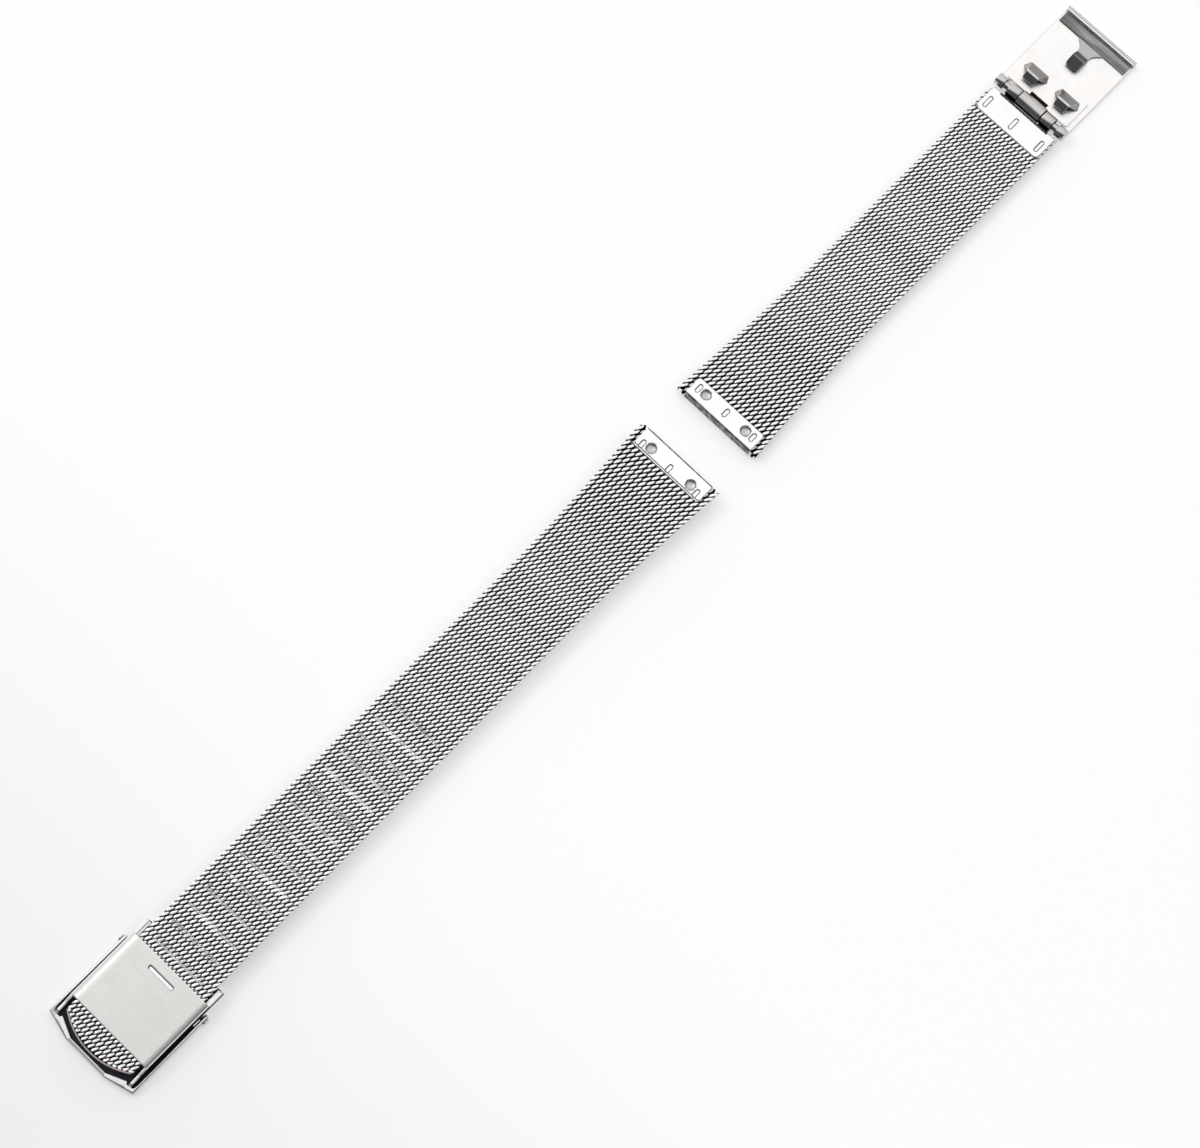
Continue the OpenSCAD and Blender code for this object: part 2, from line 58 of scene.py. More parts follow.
# Camera
# It looks down on the laid-out bracelet through a long lens, from a little below
# the middle of the picture, so that walls facing the picture's lower edge show.
camera_place = Vector((-81.28, -72.16, 427.67)) * MM
camera_target = Vector((-6.97, -3.67, 2.0)) * MM
picture_up = Vector((0.7198, 0.6942, 0.0))
ahead = (camera_target - camera_place).normalized()
picture_right = ahead.cross(picture_up).normalized()


def placed(name, data):
    """A new object in the scene."""
    thing = bpy.data.objects.new(name, data)
    bpy.context.collection.objects.link(thing)
    return thing


camera = placed("camera", bpy.data.cameras.new("camera"))
camera.data.sensor_fit = "HORIZONTAL"
camera.data.sensor_width = 36
camera.data.lens = 90
camera.data.clip_start = 0.01
camera.data.clip_end = 20
axes = Matrix((picture_right, picture_right.cross(ahead), -ahead)).transposed()
camera.matrix_world = Matrix.Translation(camera_place) @ axes.to_4x4()
bpy.context.scene.camera = camera
bpy.context.scene.view_settings.view_transform = "Standard"


# Studio
# A seamless white sheet under the bracelet, and a white tent over the picture's upper
# right half; the side behind the camera is dark, so what faces it goes dark.
class Value:
    """A node's output. Arithmetic on it adds the Math nodes that work it out."""

    def __init__(self, tree, socket):
        self.tree, self.socket = tree, socket

    def math(self, operation, *values):
        return self.tree.add("ShaderNodeMath", {"operation": operation}, dict(enumerate(values)))[0]

    def ramp(self, low, high):
        """0 below low, 1 above high, smooth in between."""
        return self.tree.add("ShaderNodeMapRange", {"interpolation_type": "SMOOTHSTEP"},
                             {"Value": self, "From Min": low, "From Max": high})[0]


arithmetic = {"add": "ADD", "sub": "SUBTRACT", "mul": "MULTIPLY", "truediv": "DIVIDE", "pow": "POWER"}
others = {"below": "LESS_THAN", "above": "GREATER_THAN", "least": "MINIMUM", "most": "MAXIMUM",
          "abs": "ABSOLUTE", "sin": "SINE", "cos": "COSINE", "floor": "FLOOR", "round": "ROUND",
          "sqrt": "SQRT"}
for method, operation in arithmetic.items():
    setattr(Value, "__%s__" % method, lambda self, other, kind=operation: self.math(kind, self, other))
    setattr(Value, "__r%s__" % method, lambda self, other, kind=operation: self.math(kind, other, self))
for method, operation in others.items():
    setattr(Value, method, lambda self, *other, kind=operation: self.math(kind, self, *other))


class Made:
    """A node that was added: indexing it gives an output, by name or number."""

    def __init__(self, tree, node):
        self.tree, self.node = tree, node

    def __getitem__(self, key):
        return Value(self.tree, self.node.outputs[key])


class Tree:
    """A shader or geometry node tree that nodes are added to."""

    def __init__(self, nodes):
        self.nodes = nodes

    def add(self, kind, settings=(), values=()):
        node = self.nodes.nodes.new(kind)
        for name, setting in dict(settings).items():
            setattr(node, name, setting)
        for key, value in dict(values).items():
            for one in value if isinstance(value, list) else [value]:
                if isinstance(one, (Value, Made)):
                    self.nodes.links.new((one[0] if isinstance(one, Made) else one).socket, node.inputs[key])
                else:
                    node.inputs[key].default_value = one
        return Made(self, node)

    def blend(self, factor, low, high):
        """Mix of two colours."""
        return self.add("ShaderNodeMix", {"data_type": "RGBA"}, {0: factor, 6: low, 7: high})[2]

    def own_place(self):
        """The point's place in its piece's own coordinates, in metres."""
        return self.add("ShaderNodeTexCoord")["Object"]

    def noise(self, where, scale, detail, rough=0.5):
        return self.add("ShaderNodeTexNoise", (), {"Vector": where, "Scale": scale, "Detail": detail,
                                                   "Roughness": rough})["Fac"]

    def parts(self, vector):
        return self.add("ShaderNodeSeparateXYZ", (), {0: vector})

    def joined(self, x, y, z):
        return self.add("ShaderNodeCombineXYZ", (), {0: x, 1: y, 2: z})[0]


def grey(value):
    return (value, value, value, 1.0)


def shader_tree(name):
    """A new material and its tree, with only the output in it."""
    material = bpy.data.materials.new(name)
    material.use_nodes = True
    material.node_tree.nodes.clear()
    return material, Tree(material.node_tree)


paper_reach = 3.0
paper_z = -0.02 * MM
paper_mesh = bpy.data.meshes.new("white_sheet")
corners = [(x * paper_reach, y * paper_reach, paper_z) for x, y in ((-1, -1), (1, -1), (1, 1), (-1, 1))]
paper_mesh.from_pydata(corners, [], [(0, 1, 2, 3)])
paper = placed("white_sheet", paper_mesh)

paper_material, tree = shader_tree("white sheet")
rays = tree.add("ShaderNodeLightPath")
seen = rays["Is Camera Ray"].most(rays["Is Glossy Ray"]).most(rays["Is Transmission Ray"])
matt = tree.add("ShaderNodeBsdfDiffuse", (), {"Color": grey(0.72)})
# Painted shade on the white sheet: its lift for camera and glossy rays dims from light grey to a darker
# bluish grey towards -X.
along = tree.parts(tree.own_place())["X"]
near = tree.blend(along.ramp(-0.15, -0.03), (0.33, 0.335, 0.345, 1.0), grey(0.47))
lift = tree.add("ShaderNodeEmission", (), {"Color": near, "Strength": 1.0})
dark = tree.add("ShaderNodeEmission", (), {"Strength": 0.0})
extra = tree.add("ShaderNodeMixShader", (), {0: seen, 1: dark, 2: lift})
both = tree.add("ShaderNodeAddShader", (), {0: matt, 1: extra})
tree.add("ShaderNodeOutputMaterial", (), {"Surface": both})
paper_mesh.materials.append(paper_material)

world = bpy.data.worlds.new("studio")
bpy.context.scene.world = world
world.use_nodes = True
world.node_tree.nodes.clear()
tree = Tree(world.node_tree)
rays = tree.add("ShaderNodeLightPath")
direction = tree.add("ShaderNodeTexCoord")["Generated"]
tent = Vector((0.55, 0.50, 0.67)).normalized()
towards = tree.add("ShaderNodeVectorMath", {"operation": "DOT_PRODUCT"}, {0: direction, 1: tent})["Value"]
room = tree.blend(towards.ramp(0.28, 0.62), (0.10, 0.105, 0.115, 1.0), grey(0.92))
white = tree.add("ShaderNodeBackground", (), {"Color": grey(1.0), "Strength": 1.0})
around = tree.add("ShaderNodeBackground", (), {"Color": room, "Strength": 1.0})
shown = tree.add("ShaderNodeMixShader", (), {0: rays["Is Camera Ray"], 1: around, 2: white})
tree.add("ShaderNodeOutputWorld", (), {"Surface": shown})


def softbox(name, place, size, radiance):
    """Area light that faces the middle of the bracelet; its power follows from how bright its face is."""
    light = bpy.data.lights.new(name, "AREA")
    light.shape = "RECTANGLE"
    light.size, light.size_y = size
    light.energy = radiance * math.pi * size[0] * size[1]
    lamp = placed(name, light)
    place = Vector(place)
    turn = (-place).to_track_quat("-Z", "Y").to_matrix().to_4x4()
    lamp.matrix_world = Matrix.Translation(place) @ turn
    lamp.visible_camera = False


softbox("softbox_top", (0.22, 0.21, 0.75), (0.9, 0.9), 0.22)
softbox("softbox_left", (-0.10, 0.56, 0.64), (0.6, 0.12), 3.0)
softbox("softbox_right", (0.05, -0.50, 0.62), (0.6, 0.25), 0.7)


# Woven mesh
# Each row is one steel wire wound into a flat spiral across the strap and hooked into
# the next row. Rolling has flattened the crests, and the wires' ends are welded and
# ground smooth along both edges.
def low(node, axis=0):
    """Lowest place of a CAD node along an axis, in millimetres."""
    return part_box(node)[0][axis] / MM


def high(node, axis=0):
    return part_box(node)[1][axis] / MM


tail_x = low("tail_rim")
rivet_r = 0.6
rib_x = low("slider_rivets") + rivet_r
long_end_x, short_end_x = high("long_mesh_watch_end"), low("short_mesh_watch_end")
mesh_end_x = high("short_mesh_hinge_end")
watch_x, watch_gap = (long_end_x + short_end_x) / 2, short_end_x - long_end_x
long_z, short_z = low("long_mesh_a", 2), low("short_mesh_a", 2)
mesh_t = high("long_mesh_a", 2) - long_z
body_w, end_w, flare_len, flare_power = 13.3, 16.0, 26.8, 1.4
joint_x = {joint["name"]: joint["pos_m"][0] / MM for joint in frame["joints"] if "pos_m" in joint}
long_joints = [joint_x["long_flex_%d" % i] for i in (1, 2, 3, 4)]
short_joints = [joint_x["short_flex_%d" % i] for i in (1, 2, 3, 4)]
groove_pitch, groove_count, groove_half = 3.39, 16, 4.8
dent_half, dent_depth, line_depth, line_points = 0.32, 0.10, 0.10, 161
row_reach, row_height, row_pitch, row_ends = 0.84, 0.62, 1.006, 0.25
columns, turn_points = 17.5, 16
crest_power, lean, sway = 0.60, 0.12, 0.08
uneven_x, uneven_y, uneven_z = 0.012, 0.02, 0.004
wire_r, side_share, crest_share = 0.235, 0.60, 0.44
selvedge_r, selvedge_steps, selvedge_inset, selvedge_apart = 0.19, 4, 0.24, 0.27
selvedge_thinner, selvedge_ripple = 0.02, 0.025
line_inset, line_wander, line_r, bead_r = 0.3, 0.02, 0.004, 0.05
core_t, core_inset, core_cells = 0.16, 0.55, (30, 12)
brink_in, brink_out, brink_unshaded, round_share = 0.34, 0.18, 0.98, 0.88
straight_up = (0.0, 0.0, 1.0)
tail_sag, rim_t, tail_gap, tail_row = 2.1, 0.25, 0.2, 0.35
screw_inset, screw_y, screw_r, screw_clear = 2.1, 4.0, 0.8, 0.14
plate_t, plate_gap, flange_clear, flange_play = 0.35, 0.01, 0.52, 0.05
flex_reach = 5.5
far_away = 1000.0
wire_values = {"Rows": 1, "First row": 0.0, "Row pitch": row_pitch, "Middle height": 0.0,
               "Tail tip": -far_away, "Hole place": far_away, "Plate start": far_away, "Plate end": far_away,
               "Plate half width": 0.0, "Leaf below": 0.0, "Lowest place": -far_away, "Grooves": 0.0,
               "Groove lines": 0, "First line": 0.0, "Row seed": 11}


def from_groove(x):
    """Distance of a place from the nearest groove's middle line."""
    groove = (x - rib_x) / groove_pitch
    return (groove - groove.round().most(0.0).least(groove_count - 1.0)).abs() * groove_pitch


def wire_tree(material):
    """The geometry nodes that lay rows of wire, with their inputs' identifiers."""
    group = bpy.data.node_groups.new("spiral rows", "GeometryNodeTree")
    group.interface.new_socket(name="Geometry", in_out="OUTPUT", socket_type="NodeSocketGeometry")
    names = {}
    for name, value in wire_values.items():
        kind = "NodeSocketInt" if isinstance(value, int) else "NodeSocketFloat"
        socket = group.interface.new_socket(name=name, in_out="INPUT", socket_type=kind)
        names[name] = socket.identifier
    tree = Tree(group)
    given = tree.add("NodeGroupInput")
    index = tree.add("GeometryNodeInputIndex")["Index"]
    middle = given["Middle height"]

    def strands(number, points):
        """Curves side by side, as points that are placed later, with each point's curve and step."""
        line = tree.add("GeometryNodeMeshLine", (), {"Count": points, "Offset": (0.0, MM, 0.0)})
        strand = tree.add("GeometryNodeMeshToCurve", (), {"Mesh": line})
        starts = tree.add("GeometryNodeMeshLine", (), {"Count": number, "Offset": (MM, 0.0, 0.0)})
        laid = tree.add("GeometryNodeInstanceOnPoints", (), {"Points": starts, "Instance": strand})
        curves = tree.add("GeometryNodeRealizeInstances", (), {"Geometry": laid})
        which = ((index + 0.5) / points).floor()
        return curves, which, index - which * points

    def half_width(at):
        spread = (1 - ((at - watch_x).abs() - watch_gap / 2) / flare_len).most(0.0) ** flare_power
        return spread * ((end_w - body_w) / 2) + body_w / 2

    tail_r = ((body_w / 2) ** 2 + tail_sag ** 2) / (2 * tail_sag)

    def tail_edge(at):
        """Where the tail's arc lies at a distance from the middle of the strap."""
        return given["Tail tip"] + tail_r - (tail_r ** 2 - at * at).most(0.0).sqrt()

    def tubes(curves, radius, place, outside, sides, upwards):
        """Round wires along the placed curves, without the points that lie outside the tail. Their
        sections stand by the direction upwards, so the flats on all crests are alike."""
        thick = tree.add("GeometryNodeSetCurveRadius", (), {"Curve": curves, "Radius": radius})
        thick = tree.add("GeometryNodeSetCurveNormal", {"mode": "FREE"}, {"Curve": thick, "Normal": upwards})
        laid = tree.add("GeometryNodeSetPosition", (), {"Geometry": thick, "Position": place})
        kept = tree.add("GeometryNodeDeleteGeometry", {"domain": "POINT"},
                        {"Geometry": laid, "Selection": outside})
        profile = tree.add("GeometryNodeCurvePrimitiveCircle", (), {"Resolution": sides, "Radius": 1.0})
        profile = tree.add("GeometryNodeTransform", (),
                           {"Geometry": profile, "Rotation": (0.0, 0.0, math.pi / sides)})
        scale = tree.add("GeometryNodeInputRadius")[0]
        return tree.add("GeometryNodeCurveToMesh", (), {"Curve": kept, "Profile Curve": profile,
                                                        "Scale": scale, "Fill Caps": True})

    # The spiral rows
    count = round(columns * turn_points) + 1
    curves, row, step = strands(given["Rows"], count)
    turn = step * (2 * math.pi / turn_points)
    sine, cosine = turn.sin(), turn.cos()
    unsteady = tree.add("FunctionNodeRandomValue", {"data_type": "FLOAT_VECTOR"},
                        {0: (-1.0, -1.0, -1.0), 1: (1.0, 1.0, 1.0), "Seed": given["Row seed"],
                         "ID": row + given["First row"].round() * 7})[0]
    apart = tree.parts(unsteady)
    row_x = given["First row"] + row * given["Row pitch"] + apart["X"] * uneven_x
    x = row_x + cosine * row_reach
    crest = sine * (sine.abs().most(0.001) ** -crest_power)
    z = middle + crest * row_height + apart["Z"] * uneven_z
    half = body_w / 2 - row_ends
    y = ((step / (count - 1) - 0.5) * (2 * half) - (turn * 2).sin() * sway + (1 - cosine) * lean - lean
         + apart["Y"] * uneven_y)
    y = y * (half_width(x) / (body_w / 2))
    outside = (row_x + row_reach).below(tail_edge(y) + tail_row)
    x = x.most(tail_edge(y) + rim_t + tail_gap)
    radius = (sine * sine * crest_share + side_share) * wire_r
    upwards = tree.joined(cosine * row_height, 0.0, sine * row_reach)
    wires = tubes(curves, radius, tree.joined(x, y, z), outside, 8, upwards)

    # Two cords along each edge, one above the other
    count = given["Rows"] * selvedge_steps + 1
    curves, cord, step = strands(4, count)
    side = cord.above(1.5) * 2 - 1
    level = (cord - cord.above(1.5) * 2) * 2 - 1
    x = given["First row"] + (step / selvedge_steps - 0.5) * given["Row pitch"]
    ripple = (step * (2 * math.pi / selvedge_steps)).cos()
    y = side * (half_width(x) - selvedge_r - selvedge_inset)
    outside = x.below(tail_edge(y) + rim_t)
    place = tree.joined(x, y, middle + level * selvedge_apart)
    thick = ripple * selvedge_ripple + (selvedge_r - selvedge_thinner)
    cords = tubes(curves, thick, place, outside, 8, straight_up)

    # A beaded line in each groove
    curves, line, step = strands(given["Groove lines"], line_points)
    x = given["First line"] + line * groove_pitch + (step * 0.37).sin() * line_wander
    y = (step / (line_points - 1) * 2 - 1) * (groove_half - line_inset)
    beads = (step * 1.3).sin() * 0.5 + (step * 0.23 + line * 2.6).sin() * 0.5
    place = tree.joined(x, y, middle + mesh_t / 2 - line_depth)
    outside = x.below(tail_edge(y) + rim_t)
    lines = tubes(curves, beads.most(0.0) * bead_r + line_r, place, outside, 6, straight_up)

    # A thin sheet inside the mesh, shaded near black: painted shade for the dark inner turns, which hides the
    # white sheet below
    length = given["Rows"] * given["Row pitch"]
    core = tree.add("GeometryNodeMeshCube", (), {
        "Size": tree.joined(length, 2.0, core_t), "Vertices X": core_cells[0],
        "Vertices Y": core_cells[1]})
    here = tree.parts(tree.add("GeometryNodeInputPosition")[0])
    x = here["X"] + given["First row"] + (length - given["Row pitch"]) / 2
    y = here["Y"] * (half_width(x) - core_inset)
    place = tree.joined(x.most(tail_edge(y) + rim_t + tail_gap), y, here["Z"] + middle)
    core = tree.add("GeometryNodeSetPosition", (), {"Geometry": core["Mesh"], "Position": place})
    both = tree.add("GeometryNodeJoinGeometry", (), {"Geometry": [wires, cords, lines, core]})

    # All of it pressed: the grooves, the seats of the plates and the screw holes
    here = tree.parts(tree.add("GeometryNodeInputPosition")[0])
    x, y, z = here["X"], here["Y"], here["Z"]
    top, bottom = middle + mesh_t / 2, middle - mesh_t / 2
    off = from_groove(x)
    dent = (1 - (off / dent_half) ** 2).most(0.0) * y.abs().below(groove_half) * given["Grooves"] * dent_depth
    in_plate = x.above(given["Plate start"]) * x.below(given["Plate end"])
    in_plate = in_plate * y.abs().below(given["Plate half width"])
    ceiling = (top - dent).least(top - in_plate * (plate_t + plate_gap))
    ground = bottom + in_plate * given["Leaf below"] * (plate_t + plate_gap)
    level = z.least(ceiling).most(ground)
    hole_x = x - given["Hole place"]
    hole_y = y.abs() - screw_y
    away = (hole_x * hole_x + hole_y * hole_y).sqrt().most(0.01)
    clear = screw_r + screw_clear
    push = ((away.most(clear) / away) - 1.0) * away.below(clear)
    side = y / y.abs().most(0.01)
    cut = (given["Lowest place"] - x).most(0.0) * y.abs().below(given["Plate half width"] - flange_play)
    pushed = tree.joined((x + hole_x * push + cut) * MM, (y + hole_y * side * push) * MM, level * MM)
    # The outward attribute is the mask of the wires' painted shade: 1 on the crests, less deeper in the mesh.
    # Near the strap's edges brink raises it, so the painted shade leaves the wire ends there bright.
    depth = ((level - middle).abs() / (ceiling - middle)).least(1.0)
    brink = (y.abs() - half_width(x)).ramp(-brink_in, -brink_out) * brink_unshaded
    marked = tree.add("GeometryNodeStoreNamedAttribute", {"data_type": "FLOAT", "domain": "POINT"},
                      {"Geometry": both, "Name": "outward", "Value": depth.most(brink)})
    pressed = tree.add("GeometryNodeSetPosition", (), {"Geometry": marked, "Position": pushed})
    height = tree.parts(tree.add("GeometryNodeInputPosition")[0])["Z"] / MM
    round_part = (height - middle).abs().below(mesh_t / 2 * round_share)
    smooth = tree.add("GeometryNodeSetShadeSmooth", (), {"Geometry": pressed, "Shade Smooth": False})
    smooth = tree.add("GeometryNodeSetShadeSmooth", (), {"Geometry": smooth, "Selection": round_part,
                                                         "Shade Smooth": True})
    real = tree.add("GeometryNodeRealizeInstances", (), {"Geometry": smooth})
    done = tree.add("GeometryNodeSetMaterial", (), {"Geometry": real, "Material": material})
    tree.add("NodeGroupOutput", (), {0: done})
    return group, names


def steel(name, colour, roughness, grain=(1.0, 1.0, 1.0), mark=None, gloss=0.5):
    """Bare steel: colour, roughness and their small variations over the surface. mark(tree, tone)
    changes the tone and says where the steel shows, and gloss is for what it leaves dull."""
    material, tree = shader_tree(name)
    where = tree.own_place()
    cloud = tree.noise(where, 900.0, 4.0, 0.6)
    patch = tree.noise(where, 160.0, 3.0)
    drawn = tree.add("ShaderNodeMapping", (), {"Vector": where, "Scale": grain})
    line = tree.noise(drawn, 2500.0, 5.0, 0.7)
    dull, dark = (tuple(c * share for c in colour[:3]) + (1.0,) for share in (0.94, 0.9))
    tone = tree.blend(patch.ramp(0.3, 0.7), dull, colour)
    tone = tree.blend(line.ramp(0.3, 0.7) * 0.5, tone, dark)
    rough = (cloud - 0.5) * 0.12 + (line - 0.5) * 0.16 + roughness
    metal = 1.0
    if mark:
        tone, shown = mark(tree, tone)
        if shown:
            metal, rough = shown, rough + (1 - shown) * 0.6
    bump = tree.add("ShaderNodeBump", (), {"Strength": 0.12, "Distance": 0.00002, "Height": line})
    body = tree.add("ShaderNodeBsdfPrincipled", (), {
        "Base Color": tone, "Metallic": metal, "Roughness": rough.least(0.9).most(0.05), "Normal": bump[0],
        "Specular IOR Level": gloss})
    tree.add("ShaderNodeOutputMaterial", (), {"Surface": body})
    return material


wall_from, wall_to, line_half, dot_half = (0.10, 0.16), (0.24, 0.31), (0.06, 0.12), 0.38
wall_dark, gap_dark, dot_shade_share = 0.6, 0.45, 0.5


def shaded_core(tree, tone):
    """Painted shade: the wire goes from polished steel on its crests to dull near-black deeper in the mesh,
    by the outward attribute, for the shade between the turns. Each pressed groove is a dotted line of
    crushed, polished crests, with painted shade between the dots and as two dark lines along its walls, in
    patches."""
    outward = tree.add("ShaderNodeAttribute", {"attribute_name": "outward"})["Fac"]
    where = tree.own_place()
    here = tree.parts(where)
    x, y, z = here["X"] / MM, here["Y"] / MM, here["Z"] / MM
    off = from_groove(x)
    upper = y.abs().below(groove_half) * z.above(long_z + mesh_t * 0.7)
    patchy_shade = tree.noise(where, 420.0, 3.0).ramp(0.38, 0.60)
    walls = off.ramp(*wall_from) * (1 - off.ramp(*wall_to)) * upper * patchy_shade
    dots = (y * (math.pi / dot_half)).sin().ramp(-0.5, 0.2) * (1 - patchy_shade * dot_shade_share)
    on_line = (1 - off.ramp(*line_half)) * upper
    broken = on_line * (1 - dots) * gap_dark
    shown = (outward.ramp(0.93, 0.985) * (1 - walls * wall_dark) * (1 - broken)).most(on_line * dots)
    sides = tree.blend(outward.ramp(0.65, 0.90), grey(0.0), grey(0.02))
    return tree.blend(shown, sides, tone), shown


wire_material = steel("woven wire", grey(0.97), 0.27, mark=shaded_core, gloss=0.0)
wire_group, wire_inputs = wire_tree(wire_material)


def woven(name, rows, first, pitch, low_z, **more):
    """Rows of wire as one plain mesh."""
    maker = placed(name + "_rows", bpy.data.meshes.new(name))
    modifier = maker.modifiers.new("rows", "NODES")
    modifier.node_group = wire_group
    values = {**wire_values, "Rows": rows, "First row": first, "Row pitch": pitch,
              "Middle height": low_z + mesh_t / 2, **more}
    for key, value in values.items():
        modifier[wire_inputs[key]] = value
    plain = bpy.data.meshes.new_from_object(maker.evaluated_get(bpy.context.evaluated_depsgraph_get()))
    bpy.data.objects.remove(maker)
    plain.name = name
    piece = placed(name, plain)
    return piece


def rows_between(first, pitch, total, start, end):
    """Number and first place of the rows that lie between two places."""
    inside = [i for i in range(total) if start <= first + i * pitch < end]
    return len(inside), first + inside[0] * pitch


def strap(first, pitch, total, z, reach, pieces):
    """The woven pieces of one half. A piece with two bodies has its transform baked where it stands;
    the places flex_reach to each side of its joint, which lies so far (reach) from its start, are worked out
    but not used."""
    for name, start, end, body, node, more in pieces:
        count, first_row = rows_between(first, pitch, total, start, end)
        if "Grooves" in more:
            lines, first_line = rows_between(rib_x, groove_pitch, groove_count, start, end)
            more = {**more, "Groove lines": lines, "First line": first_line}
        piece = woven(name, count, first_row, pitch, z, **more)
        if isinstance(body, str):
            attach(piece, body)
        else:
            low_end, high_end = (((start + reach + side * flex_reach) * MM, 0, (z + mesh_t / 2) * MM)
                                 for side in (-1, 1))
            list(body)
            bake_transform(piece)
            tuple(low_end)
            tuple(high_end)
        if node:
            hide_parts(node)


end_row = 0.93
long_rows, short_rows = 119, 67
long_first = long_end_x - end_row - (long_rows - 1) * row_pitch
short_pitch = (mesh_end_x - short_end_x - 2 * end_row) / (short_rows - 1)
plate_edge, plate_half = 3.45, 6.55
clamp_edge, clamp_half, clamp_start = 4.35, 6.2, 0.15
long_plate = {"Plate start": long_end_x - plate_edge, "Plate end": long_end_x, "Plate half width": plate_half,
              "Hole place": long_end_x - screw_inset}
short_plate = {"Plate start": short_end_x, "Plate end": short_end_x + plate_edge,
               "Plate half width": plate_half, "Hole place": short_end_x + screw_inset,
               "Lowest place": short_end_x + flange_clear}
clamped = {"Plate start": mesh_end_x - clamp_edge, "Plate end": mesh_end_x, "Plate half width": clamp_half,
           "Leaf below": 1.0}
grooves, tail_grooves = {"Grooves": 1.0}, {"Tail tip": tail_x, "Grooves": 1.0}
beyond, tail_cut, grooves_cut = 200.0, -88.0, -64.0
reach = 6.0
a, b, c, d = long_joints
flex_end = d + 6.2
strap(long_first, row_pitch, long_rows, long_z, reach, (
    ("woven_tail", -beyond, tail_cut, "grooved_strap", "mesh_grooved", tail_grooves),
    ("woven_grooves_a", tail_cut, grooves_cut, "grooved_strap", None, grooves),
    ("woven_grooves_b", grooves_cut, a - reach, "grooved_strap", None, grooves),
    ("woven_long_a", a - reach, a + reach, ("grooved_strap", "long_link_a"), "long_mesh_a", {}),
    ("woven_long_b", b - reach, b + reach, ("long_link_a", "long_link_b"), "long_mesh_b", {}),
    ("woven_long_c", c - reach, c + reach, ("long_link_b", "long_link_c"), "long_mesh_c", {}),
    ("woven_long_d", d - reach, flex_end, ("long_link_c", "long_watch_end"), None, {}),
    ("woven_long_end", flex_end, beyond, "long_watch_end", "long_mesh_watch_end", long_plate)))
reach = 6.5
a, b, c, d = short_joints
strap(short_end_x + end_row, short_pitch, short_rows, short_z, reach, (
    ("woven_short_end", -beyond, a - reach, "short_watch_end", "short_mesh_watch_end", short_plate),
    ("woven_short_a", a - reach, a + reach, ("short_watch_end", "short_link_a"), "short_mesh_a", {}),
    ("woven_short_b", b - reach, b + reach, ("short_link_a", "short_link_b"), "short_mesh_b", {}),
    ("woven_short_c", c - reach, c + reach, ("short_link_b", "short_link_c"), "short_mesh_c", {}),
    ("woven_short_d", d - reach, d + reach, ("short_link_c", "short_hinge_end"), None, {}),
    ("woven_hinge_end", d + reach, beyond, "short_hinge_end", "short_mesh_hinge_end", clamped)))


# Tail edge
# A thin band of steel welded round the cut tail, so that no wire end stands out. It has
# a warm brown tint.
def merged(mesh):
    """A bmesh of a CAD mesh, whose triangles are loose, with their corners joined."""
    work = bmesh.new()
    work.from_mesh(mesh)
    bmesh.ops.remove_doubles(work, verts=work.verts, dist=0.002 * MM)
    return work


def softened(name, node, body, materials, edge, paint=None, sharp=32, segments=2, rim=-1, crisp=False):
    """A copy of a CAD solid with its sharp edges rounded over. paint() gives a face's material by its
    middle and its normal, and rim is the number of the edges' own material. A crisp piece is shaded flat."""
    mesh = frame["nodes"][node].data.copy()
    mesh.name = name
    mesh.materials.clear()
    for material in materials:
        mesh.materials.append(material)
    work = merged(mesh)
    bmesh.ops.dissolve_limit(work, angle_limit=math.radians(0.6), verts=work.verts, edges=work.edges)
    for face in work.faces:
        face.smooth = not crisp
        face.material_index = paint(face.calc_center_median() / MM, face.normal) if paint else 0
    work.to_mesh(mesh)
    work.free()
    piece = placed(name, mesh)
    bevel = piece.modifiers.new("rounded edges", "BEVEL")
    bevel.width = edge * MM
    bevel.segments = segments
    bevel.limit_method = "ANGLE"
    bevel.angle_limit = math.radians(sharp)
    bevel.material = rim
    if not crisp:
        normals = piece.modifiers.new("even shading", "WEIGHTED_NORMAL")
        normals.keep_sharp = True
    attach(piece, body)
    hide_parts(node)


rim_material = steel("tail rim", (0.42, 0.34, 0.32, 1.0), 0.35)
softened("tail_edge", "tail_rim", "grooved_strap", [rim_material], 0.05)


# Watch end plates
# A bright plate is let into each strap end beside the watch and folded down over the
# cut wires. Two screw holes go through it, and three staking marks hold it.
def spaced(*stops):
    """Places from the first stop to the last; between two stops stands the step that divides them."""
    places = [stops[0]]
    for step, end in zip(stops[1::2], stops[2::2]):
        start = places[-1]
        parts = max(1, round((end - start) / step))
        places += [start + (end - start) * i / parts for i in range(1, parts + 1)]
    return places


